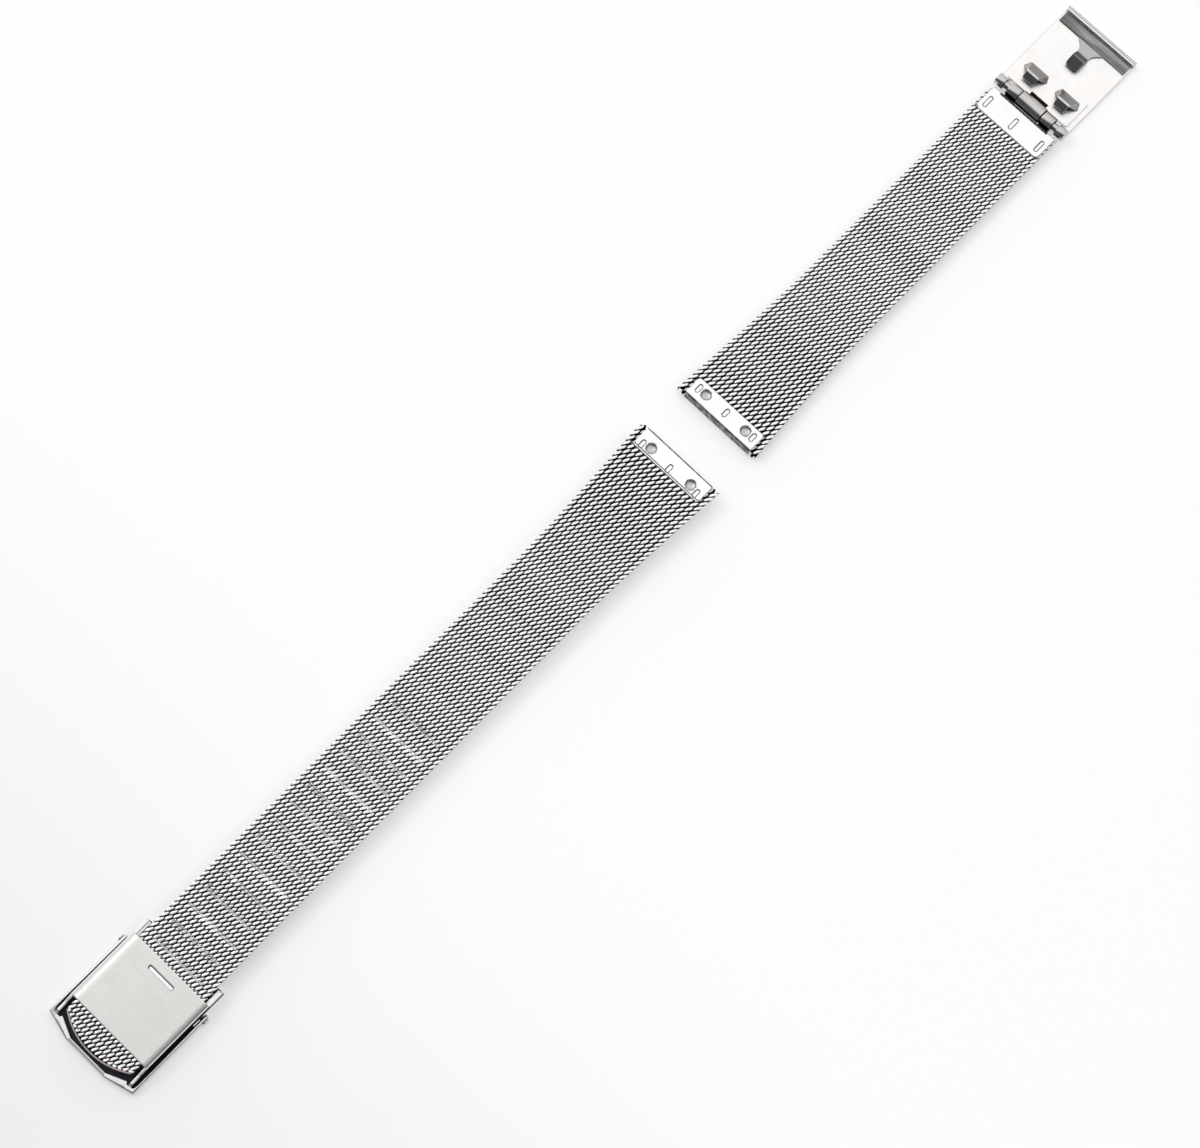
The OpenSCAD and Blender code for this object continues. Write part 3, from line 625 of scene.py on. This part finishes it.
def pressed(work, xs, ys, top, under, shift=None, opened=None, material=0, tint=None):
    """A sheet over a grid of places: top(x, y) and under(x, y) are its faces, shift(x, y) moves a point
    sideways, the cells whose middle opened(x, y) names are left out, and tint(x, y) is a cell's material."""
    grid = {}

    def corner(i, j):
        if (i, j) not in grid:
            x, y = shift(xs[i], ys[j]) if shift else (xs[i], ys[j])
            grid[i, j] = [work.verts.new((x * MM, y * MM, z * MM)) for z in (top(x, y), under(x, y))]
        return grid[i, j]

    rim = {}
    for i in range(len(xs) - 1):
        for j in range(len(ys) - 1):
            middle = (xs[i] + xs[i + 1]) / 2, (ys[j] + ys[j + 1]) / 2
            if opened and opened(*middle):
                continue
            ring = [(i, j), (i + 1, j), (i + 1, j + 1), (i, j + 1)]
            points = [corner(*key) for key in ring]
            work.faces.new([p[0] for p in points]).material_index = tint(*middle) if tint else material
            work.faces.new([p[1] for p in reversed(points)]).material_index = material
            for a, b in zip(ring, ring[1:] + ring[:1]):
                if rim.pop((b, a), None) is None:
                    rim[a, b] = True
    for a, b in rim:
        (a_top, a_under), (b_top, b_under) = grid[a], grid[b]
        work.faces.new([a_under, b_under, b_top, a_top]).material_index = material


def skin(work, rings, material=0, closed=False):
    """Joins rings of points, in millimetres, into one form, capped at its ends or closed on itself."""
    points = [[work.verts.new(Vector(p) * MM) for p in ring] for ring in rings]
    if not closed:
        for cap in (points[0], points[-1][::-1]):
            work.faces.new(cap).material_index = material
    for a, b in zip(points, points[1:] + points[:1] if closed else points[1:]):
        for i in range(len(a)):
            j = (i + 1) % len(a)
            work.faces.new((a[i], b[i], b[j], a[j])).material_index = material


def across(work, section, half, step, material=0):
    """A section of (x, z) points drawn out across the bracelet, by half its width to each side."""
    skin(work, [[(x, y, z) for x, z in section] for y in spaced(-half, step, half)], material)


def turned(work, x, y, section, material):
    """A section of (radius, z) points turned about an upright axis."""
    steps = 32
    rings = [[(x + r * math.cos(a), y + r * math.sin(a), z) for r, z in section]
             for a in (2 * math.pi * i / steps for i in range(steps))]
    skin(work, rings, material, closed=True)


def put(name, work, body, slot, *materials, node=None):
    """A finished bmesh as a piece that rides on a body, smooth except where it turns sharply."""
    bmesh.ops.recalc_face_normals(work, faces=work.faces)
    for face in work.faces:
        face.smooth = True
    for edge in work.edges:
        edge.smooth = len(edge.link_faces) == 2 and edge.calc_face_angle() < math.radians(38)
    mesh = bpy.data.meshes.new(name)
    work.to_mesh(mesh)
    work.free()
    for material in materials:
        mesh.materials.append(material)
    piece = placed(name, mesh)
    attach(piece, body)
    if node:
        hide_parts(node)


def slope(distance, start, end):
    """1 up to start, 0 beyond end, straight in between."""
    return min(1.0, max(0.0, (end - distance) / (end - start)))


def from_capsule(along, over, half, round_r):
    """Distance of a place from a capsule round the origin, given half the length of its middle line."""
    return math.hypot(max(0.0, abs(along) - half), over) - round_r


def flange_patches(tree, tone):
    """Uneven dark and light patches."""
    patch = tree.noise(tree.own_place(), 1100.0, 3.0)
    return tree.blend(patch.ramp(0.40, 0.62), tone, grey(0.09)), None


bright_material = steel("bright plate", grey(0.96), 0.34)
seam_shade_material = steel("pressed seam shade", grey(0.10), 0.5)
flange_shade_material = steel("flange", (0.32, 0.305, 0.29, 1.0), 0.42, mark=flange_patches)
bore_shade_material = steel("bore", grey(0.60), 0.36)
stake_r, stake_press, stake_line, stake_y, stake_half = 0.24, 0.09, 0.15, 5.45, 0.38
edge_drop, hole_drop, hole_ring, snap = 0.05, 0.06, 0.1, 0.08
fold_r, fold_t, flange_foot, flange_inset, foot_lift = 0.2, 0.16, 0.12, 0.05, 0.1
end_corners, seam_share, flange_step = (0.05, 0.5), 0.75, 0.8
dish = ((1.0, 0.05), (0.9, 0.16), (0.68, 0.25), (0.4, 0.31), (0.03, 0.335))


def stamped_plate(work, near, far, half, top, stakes, corners, lines=(), holes=(), notch=(0.0, 0.0)):
    """A plate from near to far along X, with rounded corners, holes, and staking marks as (x, ys, half
    length). Each line is a thin dark line of painted shade across the plate at so far from its far edge;
    notch is the half width and the depth of a notch in its near edge."""
    cell, middle, half_l = 0.08, (near + far) / 2, abs(far - near) / 2
    stake_x, stake_ys, stake_len = stakes

    def rounded(x, y):
        along = (x - middle) * (1 if far > near else -1)
        r = corners[1] if along > 0 else corners[0]
        over = max(0.0, abs(y) - (half - r))
        cut = r - math.sqrt(max(0.0, r * r - over * over))
        x = middle + (x - middle) * (half_l - cut) / half_l
        for hole_x, hole_y in holes:
            away = math.hypot(x - hole_x, y - hole_y)
            if abs(away - screw_r) < snap:
                x = hole_x + (x - hole_x) * screw_r / away
                y = hole_y + (y - hole_y) * screw_r / away
        return x, y

    def from_stake(x, y, mark_y):
        return from_capsule(x - stake_x, y - mark_y, stake_len, stake_r)

    # Painted shade: the lines, the rims of the staking marks and the rims of the holes take the dark seam
    # steel, for the shade in these creases and pressed walls.
    def tint(x, y):
        in_line = any(abs(abs(x - far) - line) < cell * seam_share for line in lines)
        round_stake = any(0 < from_stake(x, y, mark_y) < stake_line for mark_y in stake_ys)
        round_hole = any(math.hypot(x - a, y - b) < screw_r + hole_ring for a, b in holes)
        return 1 if in_line or round_stake or round_hole else 0

    def height(x, y):
        rim = min(half_l - abs(x - middle), half - abs(y))
        drop = edge_drop * slope(rim, 0.0, cell)
        for mark_y in stake_ys:
            drop = max(drop, stake_press * slope(from_stake(x, y, mark_y), 0.0, stake_line))
        for a, b in holes:
            drop = max(drop, hole_drop * slope(math.hypot(x - a, y - b), screw_r, screw_r + cell))
        return top - drop

    def in_hole(x, y):
        in_notch = abs(y) < notch[0] and abs(x - near) < notch[1]
        return in_notch or any(math.hypot(x - a, y - b) < screw_r for a, b in holes)

    xs, ys = spaced(min(near, far), cell, max(near, far)), spaced(-half, cell, half)
    pressed(work, xs, ys, height, lambda x, y: top - plate_t, rounded, in_hole, 0, tint)


def watch_plate(name, node, end_x, inward, z, body, stake_shift, fold_lean, lines):
    """The plate of one strap end; inward is the direction into the strap, and the folded flange leans
    outwards by fold_lean from its top to its foot."""
    work = bmesh.new()
    top, plate_start = z + mesh_t, fold_lean + fold_r
    holes = [(end_x + inward * screw_inset, s * screw_y) for s in (-1, 1)]
    stakes = end_x + inward * (screw_inset + stake_shift), (-stake_y, 0.0, stake_y), stake_half
    stamped_plate(work, end_x + inward * plate_start, end_x + inward * plate_edge, plate_half, top, stakes,
                  end_corners, lines, holes)

    def bend(r):
        turn = (math.radians(90 - 15 * i) for i in range(7))
        return [(plate_start - r * math.cos(a), top - fold_r + r * math.sin(a)) for a in turn]

    # The folded flange takes a darker copy of the plate's steel, as painted shade, with uneven patches.
    section = bend(fold_r) + [(0.0, z + flange_foot), (fold_t, z + flange_foot)] + bend(fold_r - fold_t)[::-1]
    across(work, [(end_x + inward * u, w) for u, w in section], plate_half - flange_inset, flange_step,
           2)
    # The bores take a mid grey copy of the plate's steel: painted shade inside the screw holes.
    for hole_x, hole_y in holes:
        floor = [(screw_r * r, top - depth) for r, depth in dish]
        wall = [(screw_r * dish[-1][0], z + foot_lift), (screw_r + hole_ring, z + foot_lift),
                (screw_r + hole_ring, top - hole_drop)]
        turned(work, hole_x, hole_y, floor + wall, 3)
    put(name, work, body, "satin_plate", bright_material, seam_shade_material, flange_shade_material, bore_shade_material,
        node=node)


watch_plate("watch_end_plate_long", "long_end_plate", long_end_x, -1, long_z, "long_watch_end", 0.4, 0.02,
            (0.34, 0.04))
watch_plate("watch_end_plate_short", "short_end_plate", short_end_x, 1, short_z, "short_watch_end", 0.0, 0.24,
            ())

# Slider plate
# A satin plate lies against the skin. Its long edges are rolled down over the
# channel's walls, and a pressed rib holds the mesh in a groove.
edge_shade_material = steel("sheet edge", grey(0.36), 0.4)
satin_material = steel("satin plate", (0.79, 0.785, 0.765, 1.0), 0.42)
skin_low, skin_high = low("slider_skin_plate"), high("slider_skin_plate")
skin_half, skin_top = high("slider_skin_plate", 1), high("slider_skin_plate", 2)
skin_foot, skin_t, roll_w, roll_narrow, roll_drop = low("slider_skin_plate", 2), 0.4, 1.6, 1.0, 0.8
end_drop, end_ease, mesh_clear = 0.06, 0.1, 0.25
rib_half, rib_r, rib_press, rib_ease, rib_wall, rib_grid, rib_reach = 2.12, 0.3, 0.2, 0.08, 0.06, 0.6, 2.7


def from_rib(x, y):
    return from_capsule(y, x - rib_x, rib_half, rib_r)


def plate_height(x, y):
    wide = roll_w if y > 0 else roll_narrow
    over = max(0.0, abs(y) - (skin_half - wide)) / wide
    drop = roll_drop * (1 - math.sqrt(max(0.0, 1 - over ** 2)))
    drop += end_drop * slope(min(x - skin_low, skin_high - x), 0.0, end_ease)
    drop += rib_press * slope(from_rib(x, y), -rib_ease, rib_ease)
    return skin_top - drop


def plate_under(x, y):
    """The sheet's lower face, which stays above the mesh between the channel's walls."""
    under = plate_height(x, y) - skin_t
    return max(under, skin_foot) if abs(y) < body_w / 2 + mesh_clear else under


def plate_tint(x, y):
    """Painted light in the pressed rib: its floor takes the bright plate steel as a painted highlight, and
    its wall on the side that faces the tail takes the dark edge steel as painted shade.
    """
    away = from_rib(x, y)
    if away < -rib_ease:
        return 1
    return 2 if away < rib_wall and (x > rib_x or abs(y) > rib_half + 0.1) else 0


work = bmesh.new()
pressed(work, spaced(skin_low, 0.1, skin_low + 0.2, 0.4, rib_x - rib_grid, 0.06, rib_x + rib_grid, 0.3,
                     skin_high - 0.2, 0.1, skin_high),
        spaced(-skin_half, 0.02, -skin_half + 0.1, 0.06, -skin_half + 0.4, 0.12, -skin_half + roll_w, 0.3,
               -rib_reach, 0.1, rib_reach, 0.3, skin_half - roll_w, 0.12, skin_half - 0.4, 0.06,
               skin_half - 0.1, 0.02, skin_half),
        plate_height, plate_under, tint=plate_tint)
put("slider_plate", work, "slider", "satin_plate", satin_material, bright_material, edge_shade_material,
    node="slider_skin_plate")

# Slider channel
# A polished channel under the mesh, with a wall on each side that the lever's rivets
# go through. Between the walls and the lever its faces are painted near black, as painted shade.
frame_material = steel("polished frame", grey(0.80), 0.26)
inside_shade_material = steel("painted inner shade", (0.028, 0.032, 0.042, 1.0), 0.5)
wall_out, floor_high = high("slider_body", 1), 1.2


# Painted shade: the walls' outer faces and the floor below floor_high take the near-black inside steel.
def channel_paint(at, normal):
    outer_side = abs(normal.y) > 0.7 and abs(at.y) > wall_out - 0.1
    return 1 if outer_side or (normal.z > 0.5 and at.z < floor_high) else 0


softened("slider_channel", "slider_body", "slider", [frame_material, inside_shade_material], 0.09,
         channel_paint)

# Wall linings
# Beside the mesh each wall is doubled by a bright folded strip, which shows past the
# plate at the end that faces the watch.
lining = ((6.74, 0.7), (6.74, 1.75), (6.80, 1.85), (6.98, 1.90), (7.16, 1.88), (7.2, 0.7))
lining_start, lining_end = skin_high - 0.3, high("slider_body") - 0.15
work = bmesh.new()
for side in (-1, 1):
    skin(work, [[(x, side * y, z) for y, z in lining] for x in spaced(lining_start, 0.5, lining_end)])
put("wall_linings", work, "slider", "polished_frame", frame_material)

# Slider rivets
# Two domed steel rivets through the channel's walls, one at each side, on which the
# lever swings.
softened("slider_rivet_pair", "slider_rivets", "slider", [frame_material], 0.08)

# Lock lever
# A polished frame of two arms and a faceted bar across the tail, in one piece with a
# floor whose windows take the cover's hooks and catch.
lever_low, lever_half = low("lock_lever"), high("lock_lever", 1)
arm_t, thin_t, arm_h, lever_t = 0.65, 0.5, 1.24, 0.45
bar_back, bar_half, behind_bar = lever_low + 1.24, 3.7, 1.5
arm_end, floor_start, floor_end, floor_inset = rib_x + 0.24, lever_low + 0.3, rib_x - 1.6, 0.12
floor_ease = 0.15
hook_window, hook_y = (lever_low + arm_t + 2.85, lever_low + arm_t + 6.15), (0.725, 5.575)
catch_window, catch_half = (hook_window[1] + 0.6, hook_window[1] + 3.9), 1.4
cam_half = body_w / 2 - 1.25
cam = [(floor_end - 0.4, 0.1), (floor_end, 0.1), (floor_end, 0.5), (rib_x + 0.15, 0.5), (rib_x + 0.2, 0.62),
       (rib_x + 0.15, 0.95), (rib_x, 1.02), (rib_x - 0.15, 0.98), (floor_end - 0.35, 0.95),
       (floor_end - 0.4, 0.85)]


def arm_section(depth):
    """(inset from the outer side, z) points of an arm with a round top, from its outer foot inwards."""
    r = depth * 0.5
    turn = (math.radians(30 * i) for i in range(7))
    crown = [(r - r * math.cos(a), arm_h - r + r * math.sin(a)) for a in turn]
    return [(0.0, 0.1), (0.0, arm_h * 0.5)] + crown + [(depth, arm_h * 0.45), (depth, 0.1), (r, 0.0)]


def facet_section(wide):
    """A corner facet's section: flat on top, so it shines where the bar beside it is dark."""
    return [(0.0, 0.1), (0.0, 0.5), (0.02, 0.82), (0.06, 0.90), (0.12, 0.95), (wide * 0.4, 0.97),
            (wide * 0.7, 0.98), (wide - 0.08, 0.97), (wide, 0.92), (wide, 0.5), (wide, 0.1), (wide / 2, 0.0)]


def mitred(path, sections):
    """Rings of sections along a path in plan, whose outer side is on the left."""
    rings = []
    for i, (x, y) in enumerate(path):
        before = Vector(path[i]) - Vector(path[i - 1]) if i else Vector(path[1]) - Vector(path[0])
        after = Vector(path[i + 1]) - Vector(path[i]) if i < len(path) - 1 else before
        mean = before.normalized() + after.normalized()
        inward = Vector((mean.y, -mean.x)).normalized()
        inward /= max(0.5, inward.dot(Vector((after.y, -after.x)).normalized()))
        rings.append([(x + inward.x * u, y + inward.y * u, z) for u, z in sections[i]])
    return rings


# The bar's section has as many points as an arm's: a steep outer face, then a slope
# that rises inwards.
bar_section = [(0.0, 0.1), (0.0, 0.42), (0.0, 0.66), (0.04, 0.73), (0.08, 0.80), (0.12, 0.85), (0.45, 0.925),
               (0.58, 0.95), (0.62, 0.94), (0.65, 0.60), (0.65, 0.1), (0.32, 0.0)]
half_side = []
for y, wide in ((bar_half, 0.0), (bar_half + 0.04, 0.74), (6.85, 1.25), (7.05, 0.80), (lever_half, 0.72)):
    x = lever_low + (bar_back - lever_low) * (y - bar_half) / (lever_half - bar_half)
    half_side.append((x, y, facet_section(wide) if wide else bar_section))
half_side.append((bar_back + behind_bar, lever_half, arm_section(thin_t)))
for angle in (0, 35, 60, 80):
    shrink = math.cos(math.radians(angle))
    half_side.append((arm_end + arm_h / 2 * math.sin(math.radians(angle)), lever_half,
                      [(u, arm_h / 2 + (z - arm_h / 2) * shrink) for u, z in arm_section(arm_t)]))
way_round = [(x, -y, section) for x, y, section in reversed(half_side)] + half_side
work = bmesh.new()
skin(work, mitred([(x, y) for x, y, section in way_round], [section for x, y, section in way_round]))


def floor_shift(x, y):
    """Narrows the floor to the bar in front of its corners."""
    spread = (x - lever_low) / (bar_back - lever_low)
    half = lever_half if spread > 1 else bar_half + (lever_half - bar_half) * spread
    return x, y * (half - floor_inset) / lever_half


def in_window(x, y):
    hooks = hook_window[0] < x < hook_window[1] and hook_y[0] < abs(y) < hook_y[1]
    return hooks or (catch_window[0] < x < catch_window[1] and abs(y) < catch_half)


def floor_edge(x, y):
    return edge_drop * slope(min(x - floor_start, floor_end - x), 0.0, floor_ease)


# The floor and the cam take the near-black inside steel: painted shade.
pressed(work, spaced(floor_start, 0.15, lever_low + 0.6, 0.32, bar_back, 0.5, hook_window[0], 0.6,
                     hook_window[1], 0.6, catch_window[0], 0.6, catch_window[1], 0.6, floor_end - 0.2, 0.2,
                     floor_end),
        spaced(-lever_half, 0.6, -hook_y[1], 0.6, -catch_half, 0.6, -hook_y[0], 0.5, hook_y[0], 0.6,
               catch_half, 0.6, hook_y[1], 0.6, lever_half),
        lambda x, y: lever_t, floor_edge, floor_shift, in_window, 1)
across(work, cam, cam_half, 2.0, 1)
put("locking_lever", work, "lever", "polished_frame", frame_material, inside_shade_material, node="lock_lever")

# Hinge clamp plate
# A bright plate let into the skin side of the short strap's end, over the hinge leaf.
# Staking in three places clamps the mesh between the two.
knuckles_half, strip_w, strip_drop, strip_t, strip_gap = 4.75, 0.36, 0.12, 0.18, 0.05
clamp_stake_x, clamp_stake_y, clamp_stake_half = mesh_end_x - clamp_edge + 1.75, 5.2, 0.7
clamp_corners = (0.15, 0.85)
clamp_top = short_z + mesh_t
cut_wire_shade_material = steel("cut wire", (0.075, 0.075, 0.08, 1.0), 0.45)
work = bmesh.new()
stamped_plate(work, mesh_end_x - clamp_start, mesh_end_x - clamp_edge, clamp_half, clamp_top,
              (clamp_stake_x, (-clamp_stake_y, 0.0, clamp_stake_y), clamp_stake_half), clamp_corners,
              notch=(knuckles_half, strip_w))
# A near-black strip under the plate's notch: painted shade between the plate and the knuckles.
pressed(work, spaced(mesh_end_x - clamp_start - strip_w, 0.2, mesh_end_x - strip_gap),
        spaced(-knuckles_half, 0.5, knuckles_half), lambda x, y: clamp_top - strip_drop,
        lambda x, y: clamp_top - strip_drop - strip_t, material=2)
put("hinge_clamp_plate", work, "short_hinge_end", "satin_plate", bright_material, seam_shade_material, cut_wire_shade_material,
    node="clamp_plate")

# Cut wire ends
# The mesh's last row of wire shows in a notch of the clamp plate, as a dark ribbed strip
# next to the hinge; its near-black steel is painted shade.
last_row = mesh_end_x - 0.9
piece = woven("cut_wire_ends", 1, last_row, short_pitch, short_z,
              **{"Plate start": mesh_end_x - clamp_edge, "Plate end": mesh_end_x - clamp_start - strip_w,
                 "Plate half width": clamp_half})
piece.data.materials[0] = cut_wire_shade_material
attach(piece, "short_hinge_end")

# Hinge
# The strap's leaf lies under the mesh and ends in two knuckles; the pin goes through
# them and through the cover's knuckle and ears.
hinge_x, knuckle_half, root_in = mesh_end_x + 1.45, 6.0, 0.95
hinge_material = steel("hinge steel", (0.60, 0.575, 0.565, 1.0), 0.2, grain=(1.0, 10.0, 1.0))
gap_shade_material = steel("hinge gap", grey(0.015), 0.6)


def knuckle_paint(at, normal):
    """The knuckles' end faces and roots, and the faces turned to +X beyond the hinge, take near-black steel:
    painted shade in the gaps between them.
    """
    in_gap = abs(normal.y) > 0.7 and abs(at.y) < knuckle_half
    at_root = at.x < hinge_x - root_in and normal.z > 0.2
    return 1 if in_gap or at_root or (normal.x > 0.9 and at.x > hinge_x) else 0


softened("hinge_leaf_knuckles", "hinge_leaf", "short_hinge_end",
         [hinge_material, gap_shade_material], 0.05, knuckle_paint)
softened("hinge_axle", "hinge_pin", "cover", [hinge_material], 0.06)


# Cover
# A bright sheet with its middle knuckle rolled from a tongue of the sheet, an ear at
# each side and a hem folded over the catch spring.
def warm_patches(tree, tone):
    """Broad faint patches of a warmer tint."""
    patch = tree.noise(tree.own_place(), 330.0, 4.0, 0.6)
    return tree.blend(patch.ramp(0.46, 0.70), tone, (0.92, 0.87, 0.84, 1.0)), None


cover_material = steel("cover sheet", (0.955, 0.94, 0.93, 1.0), 0.38, mark=warm_patches)
sheet_start = hinge_x + 1.35


def cover_paint(at, normal):
    """The sheet, its knuckle and ears, and the knuckle's end faces in near-black steel as painted shade."""
    if at.x > sheet_start:
        return 0
    return 3 if abs(normal.y) > 0.7 and abs(at.y) < knuckle_half else 1


# The cover's rounded edges take the darker edge steel, as painted shade.
softened("cover_sheet", "cover_plate", "cover",
         [cover_material, hinge_material, edge_shade_material, gap_shade_material], 0.08, cover_paint, rim=2)

# Hook plate
# Two hoods pressed out of a plate on the cover, painted a darker grey as shade, with a painted
# highlight along their upper ridges. Next to the knuckle a near-black sheet is painted shade in the slot.
hook_shade_material = steel("hook steel", (0.44, 0.425, 0.415, 1.0), 0.24)
ridge_highlight_material = steel("hook ridge", grey(0.97), 0.5)
hood_foot, hood_top, ridge_r, ridge_len = 0.83, high("hook_plate", 2) - 0.05, 0.08, 0.5
slot_half, slot_near, slot_far, slot_top, slot_under = 1.65, 92.62, 93.28, 0.56, 0.51


# The hoods take the darker hook steel: painted shade.
def hook_paint(at, normal):
    return 1 if at.z > hood_foot else 0


softened("cover_hooks", "hook_plate", "cover", [cover_material, hook_shade_material, ridge_highlight_material],
         0.12, hook_paint, sharp=20, segments=1, rim=2, crisp=True)
# Thin tubes of near-white steel along the hoods' upper ridges: a painted highlight.
hoods = merged(frame["nodes"]["hook_plate"].data)
work = bmesh.new()
for edge in hoods.edges:
    start, end = (corner.co / MM for corner in edge.verts)
    turn = edge.calc_face_angle_signed(0.0)
    if min(start.z, end.z) < hood_top or turn < math.radians(20) or abs(end.y - start.y) < ridge_len:
        continue
    along = (end - start).normalized()
    aside = along.cross(Vector((0, 0, 1))).normalized()
    upright = aside.cross(along)
    ring = [(aside * math.cos(a) + upright * math.sin(a)) * ridge_r
            for a in (math.radians(60 * i) for i in range(6))]
    skin(work, [[place + r for r in ring] for place in (start, end)])
hoods.free()
put("hook_ridge_highlights", work, "cover", "hook_steel", ridge_highlight_material)
# A near-black sheet in the slot by the knuckle: painted shade.
work = bmesh.new()
pressed(work, spaced(slot_near, 0.3, slot_far), spaced(-slot_half, 0.5, slot_half), lambda x, y: slot_top,
        lambda x, y: slot_under)
put("knuckle_slot_shade", work, "cover", "hook_steel", gap_shade_material)

# Hem
# The cover's folded edge: a bright rolled bead over the spring, a dark seam and the
# bright fold, with the sheet's raw edge outside; the seam and the raw edge are painted dark grey, as painted
# shade.
hem_half, hem_end, hem_foot, hem_top = high("cover_plate", 1), high("cover_plate"), 0.82, 1.165
hem_shade_steel = steel("hem seam shade", grey(0.22), 0.5)
work = bmesh.new()
for low_x, high_x, crown, material in ((0.74, 0.45, 0.03, 0), (0.45, 0.30, 0.0, 1), (0.30, 0.13, 0.02, 0),
                                       (0.13, 0.0, 0.0, 1)):
    start, end, top = hem_end - low_x, hem_end - high_x, hem_top + crown
    ease = min(0.06, (end - start) / 3)
    across(work, [(start, hem_foot), (start, top - 0.05), (start + ease, top), (end - ease, top),
                  (end, top - 0.04), (end, hem_foot)], hem_half, 0.5, material)
put("cover_hem", work, "cover", "cover_sheet", bright_material, hem_shade_steel)

# Catch spring
# A spring leaf painted dark grey as shade: a bar under the cover's hem, and a tongue that rises to a crest
# and dips to a rounded lip.
bar_low, bar_half_w = low("catch_spring_bar"), high("catch_spring_bar", 1)


def drawn_lines_and_shade(tree, tone):
    """Long brushed lines along the bar; it is darker towards its +Y end, and painted shade darkens it along
    its edge at bar_low.
    """
    where = tree.own_place()
    along = tree.add("ShaderNodeMapping", (), {"Vector": where, "Scale": (9.0, 0.3, 1.0)})
    line = tree.noise(along, 330.0, 4.0, 0.65)
    place = tree.parts(where)
    dark_end = (place["Y"] / MM).ramp(0.0, bar_half_w)
    edge = 1 - (place["X"] / MM - bar_low).ramp(0.0, 0.5)
    tone = tree.blend((line.ramp(0.36, 0.66) * 0.9 + edge * 0.4).least(1.0), tone, grey(0.12))
    return tree.blend(dark_end * 0.75, tone, grey(0.11)), None


spring_material = steel("spring steel", (0.42, 0.42, 0.425, 1.0), 0.36, mark=drawn_lines_and_shade)
lip_shade_material = steel("spring lip", (0.075, 0.07, 0.068, 1.0), 0.3)
flare_light_material = steel("spring flare", grey(0.52), 0.4)
spring_section = ((0.0, 0.5), (0.0, 0.66), (0.06, 0.72), (0.5, 0.77), (1.0, 0.79), (1.6, 0.76), (1.78, 0.72),
                  (1.82, 0.5))
work = bmesh.new()
across(work, [(bar_low + u, z) for u, z in spring_section], bar_half_w, 0.5)
put("catch_bar", work, "cover", "spring_steel", spring_material, node="catch_spring_bar")
tongue_x, tongue_foot, tongue_t = joint_x["tongue_flex"], 0.5, 0.2
tongue_line = ((0.0, 0.30), (-1.5, 0.31), (-1.85, 0.38), (-2.7, 1.22), (-2.85, 1.3), (-3.0, 1.27),
               (-4.65, 0.66))
tongue_len, tongue_half, root_half, root_len, lip_r = 4.65, 1.1, 1.1, 1.6, 0.45
steep_from, steep_to, steep_share, lip_start, root_end = -3.5, -2.0, 1.3, -3.02, -1.75


def tongue_height(x, y):
    u = x - tongue_x
    for (u1, h1), (u2, h2) in zip(tongue_line, tongue_line[1:]):
        if u >= u2:
            return tongue_foot + h2 + (h1 - h2) * (u - u2) / (u1 - u2)
    return tongue_foot + tongue_line[-1][1]


def tongue_under(x, y):
    """Measured upright, the sheet is thicker where it rises steeply to its crest."""
    steep = steep_from < x - tongue_x < steep_to
    return tongue_height(x, y) - tongue_t * (steep_share if steep else 1.0)


def tongue_shift(x, y):
    """y runs from -1 to 1: half the tongue's width grows to its root and rounds off at its lip."""
    u = tongue_x - x
    half = tongue_half + root_half * max(0.0, 1 - u / root_len) ** 2
    over = max(0.0, u - tongue_len + lip_r)
    return x, y * (half - lip_r + math.sqrt(max(0.0, lip_r ** 2 - over ** 2)))


def tongue_tint(x, y):
    """Painted light on the tongue: the lip beyond the crest is painted near black as shade, and the flare at
    the root is painted lighter.
    """
    if x - tongue_x < lip_start:
        return 1
    return 2 if x - tongue_x > root_end else 0


work = bmesh.new()
pressed(work, spaced(tongue_x - tongue_len, 0.06, tongue_x - 4.2, 0.25, tongue_x - 3.0, 0.05,
                     tongue_x - 2.7, 0.2, tongue_x - 1.85, 0.08, tongue_x - 1.5, 0.15, tongue_x + 0.1),
        spaced(-1.0, 0.12, 1.0), tongue_height, tongue_under, tongue_shift, tint=tongue_tint)
put("catch_tongue_leaf", work, "tongue", "spring_steel", spring_material, lip_shade_material, flare_light_material,
    node="catch_tongue")
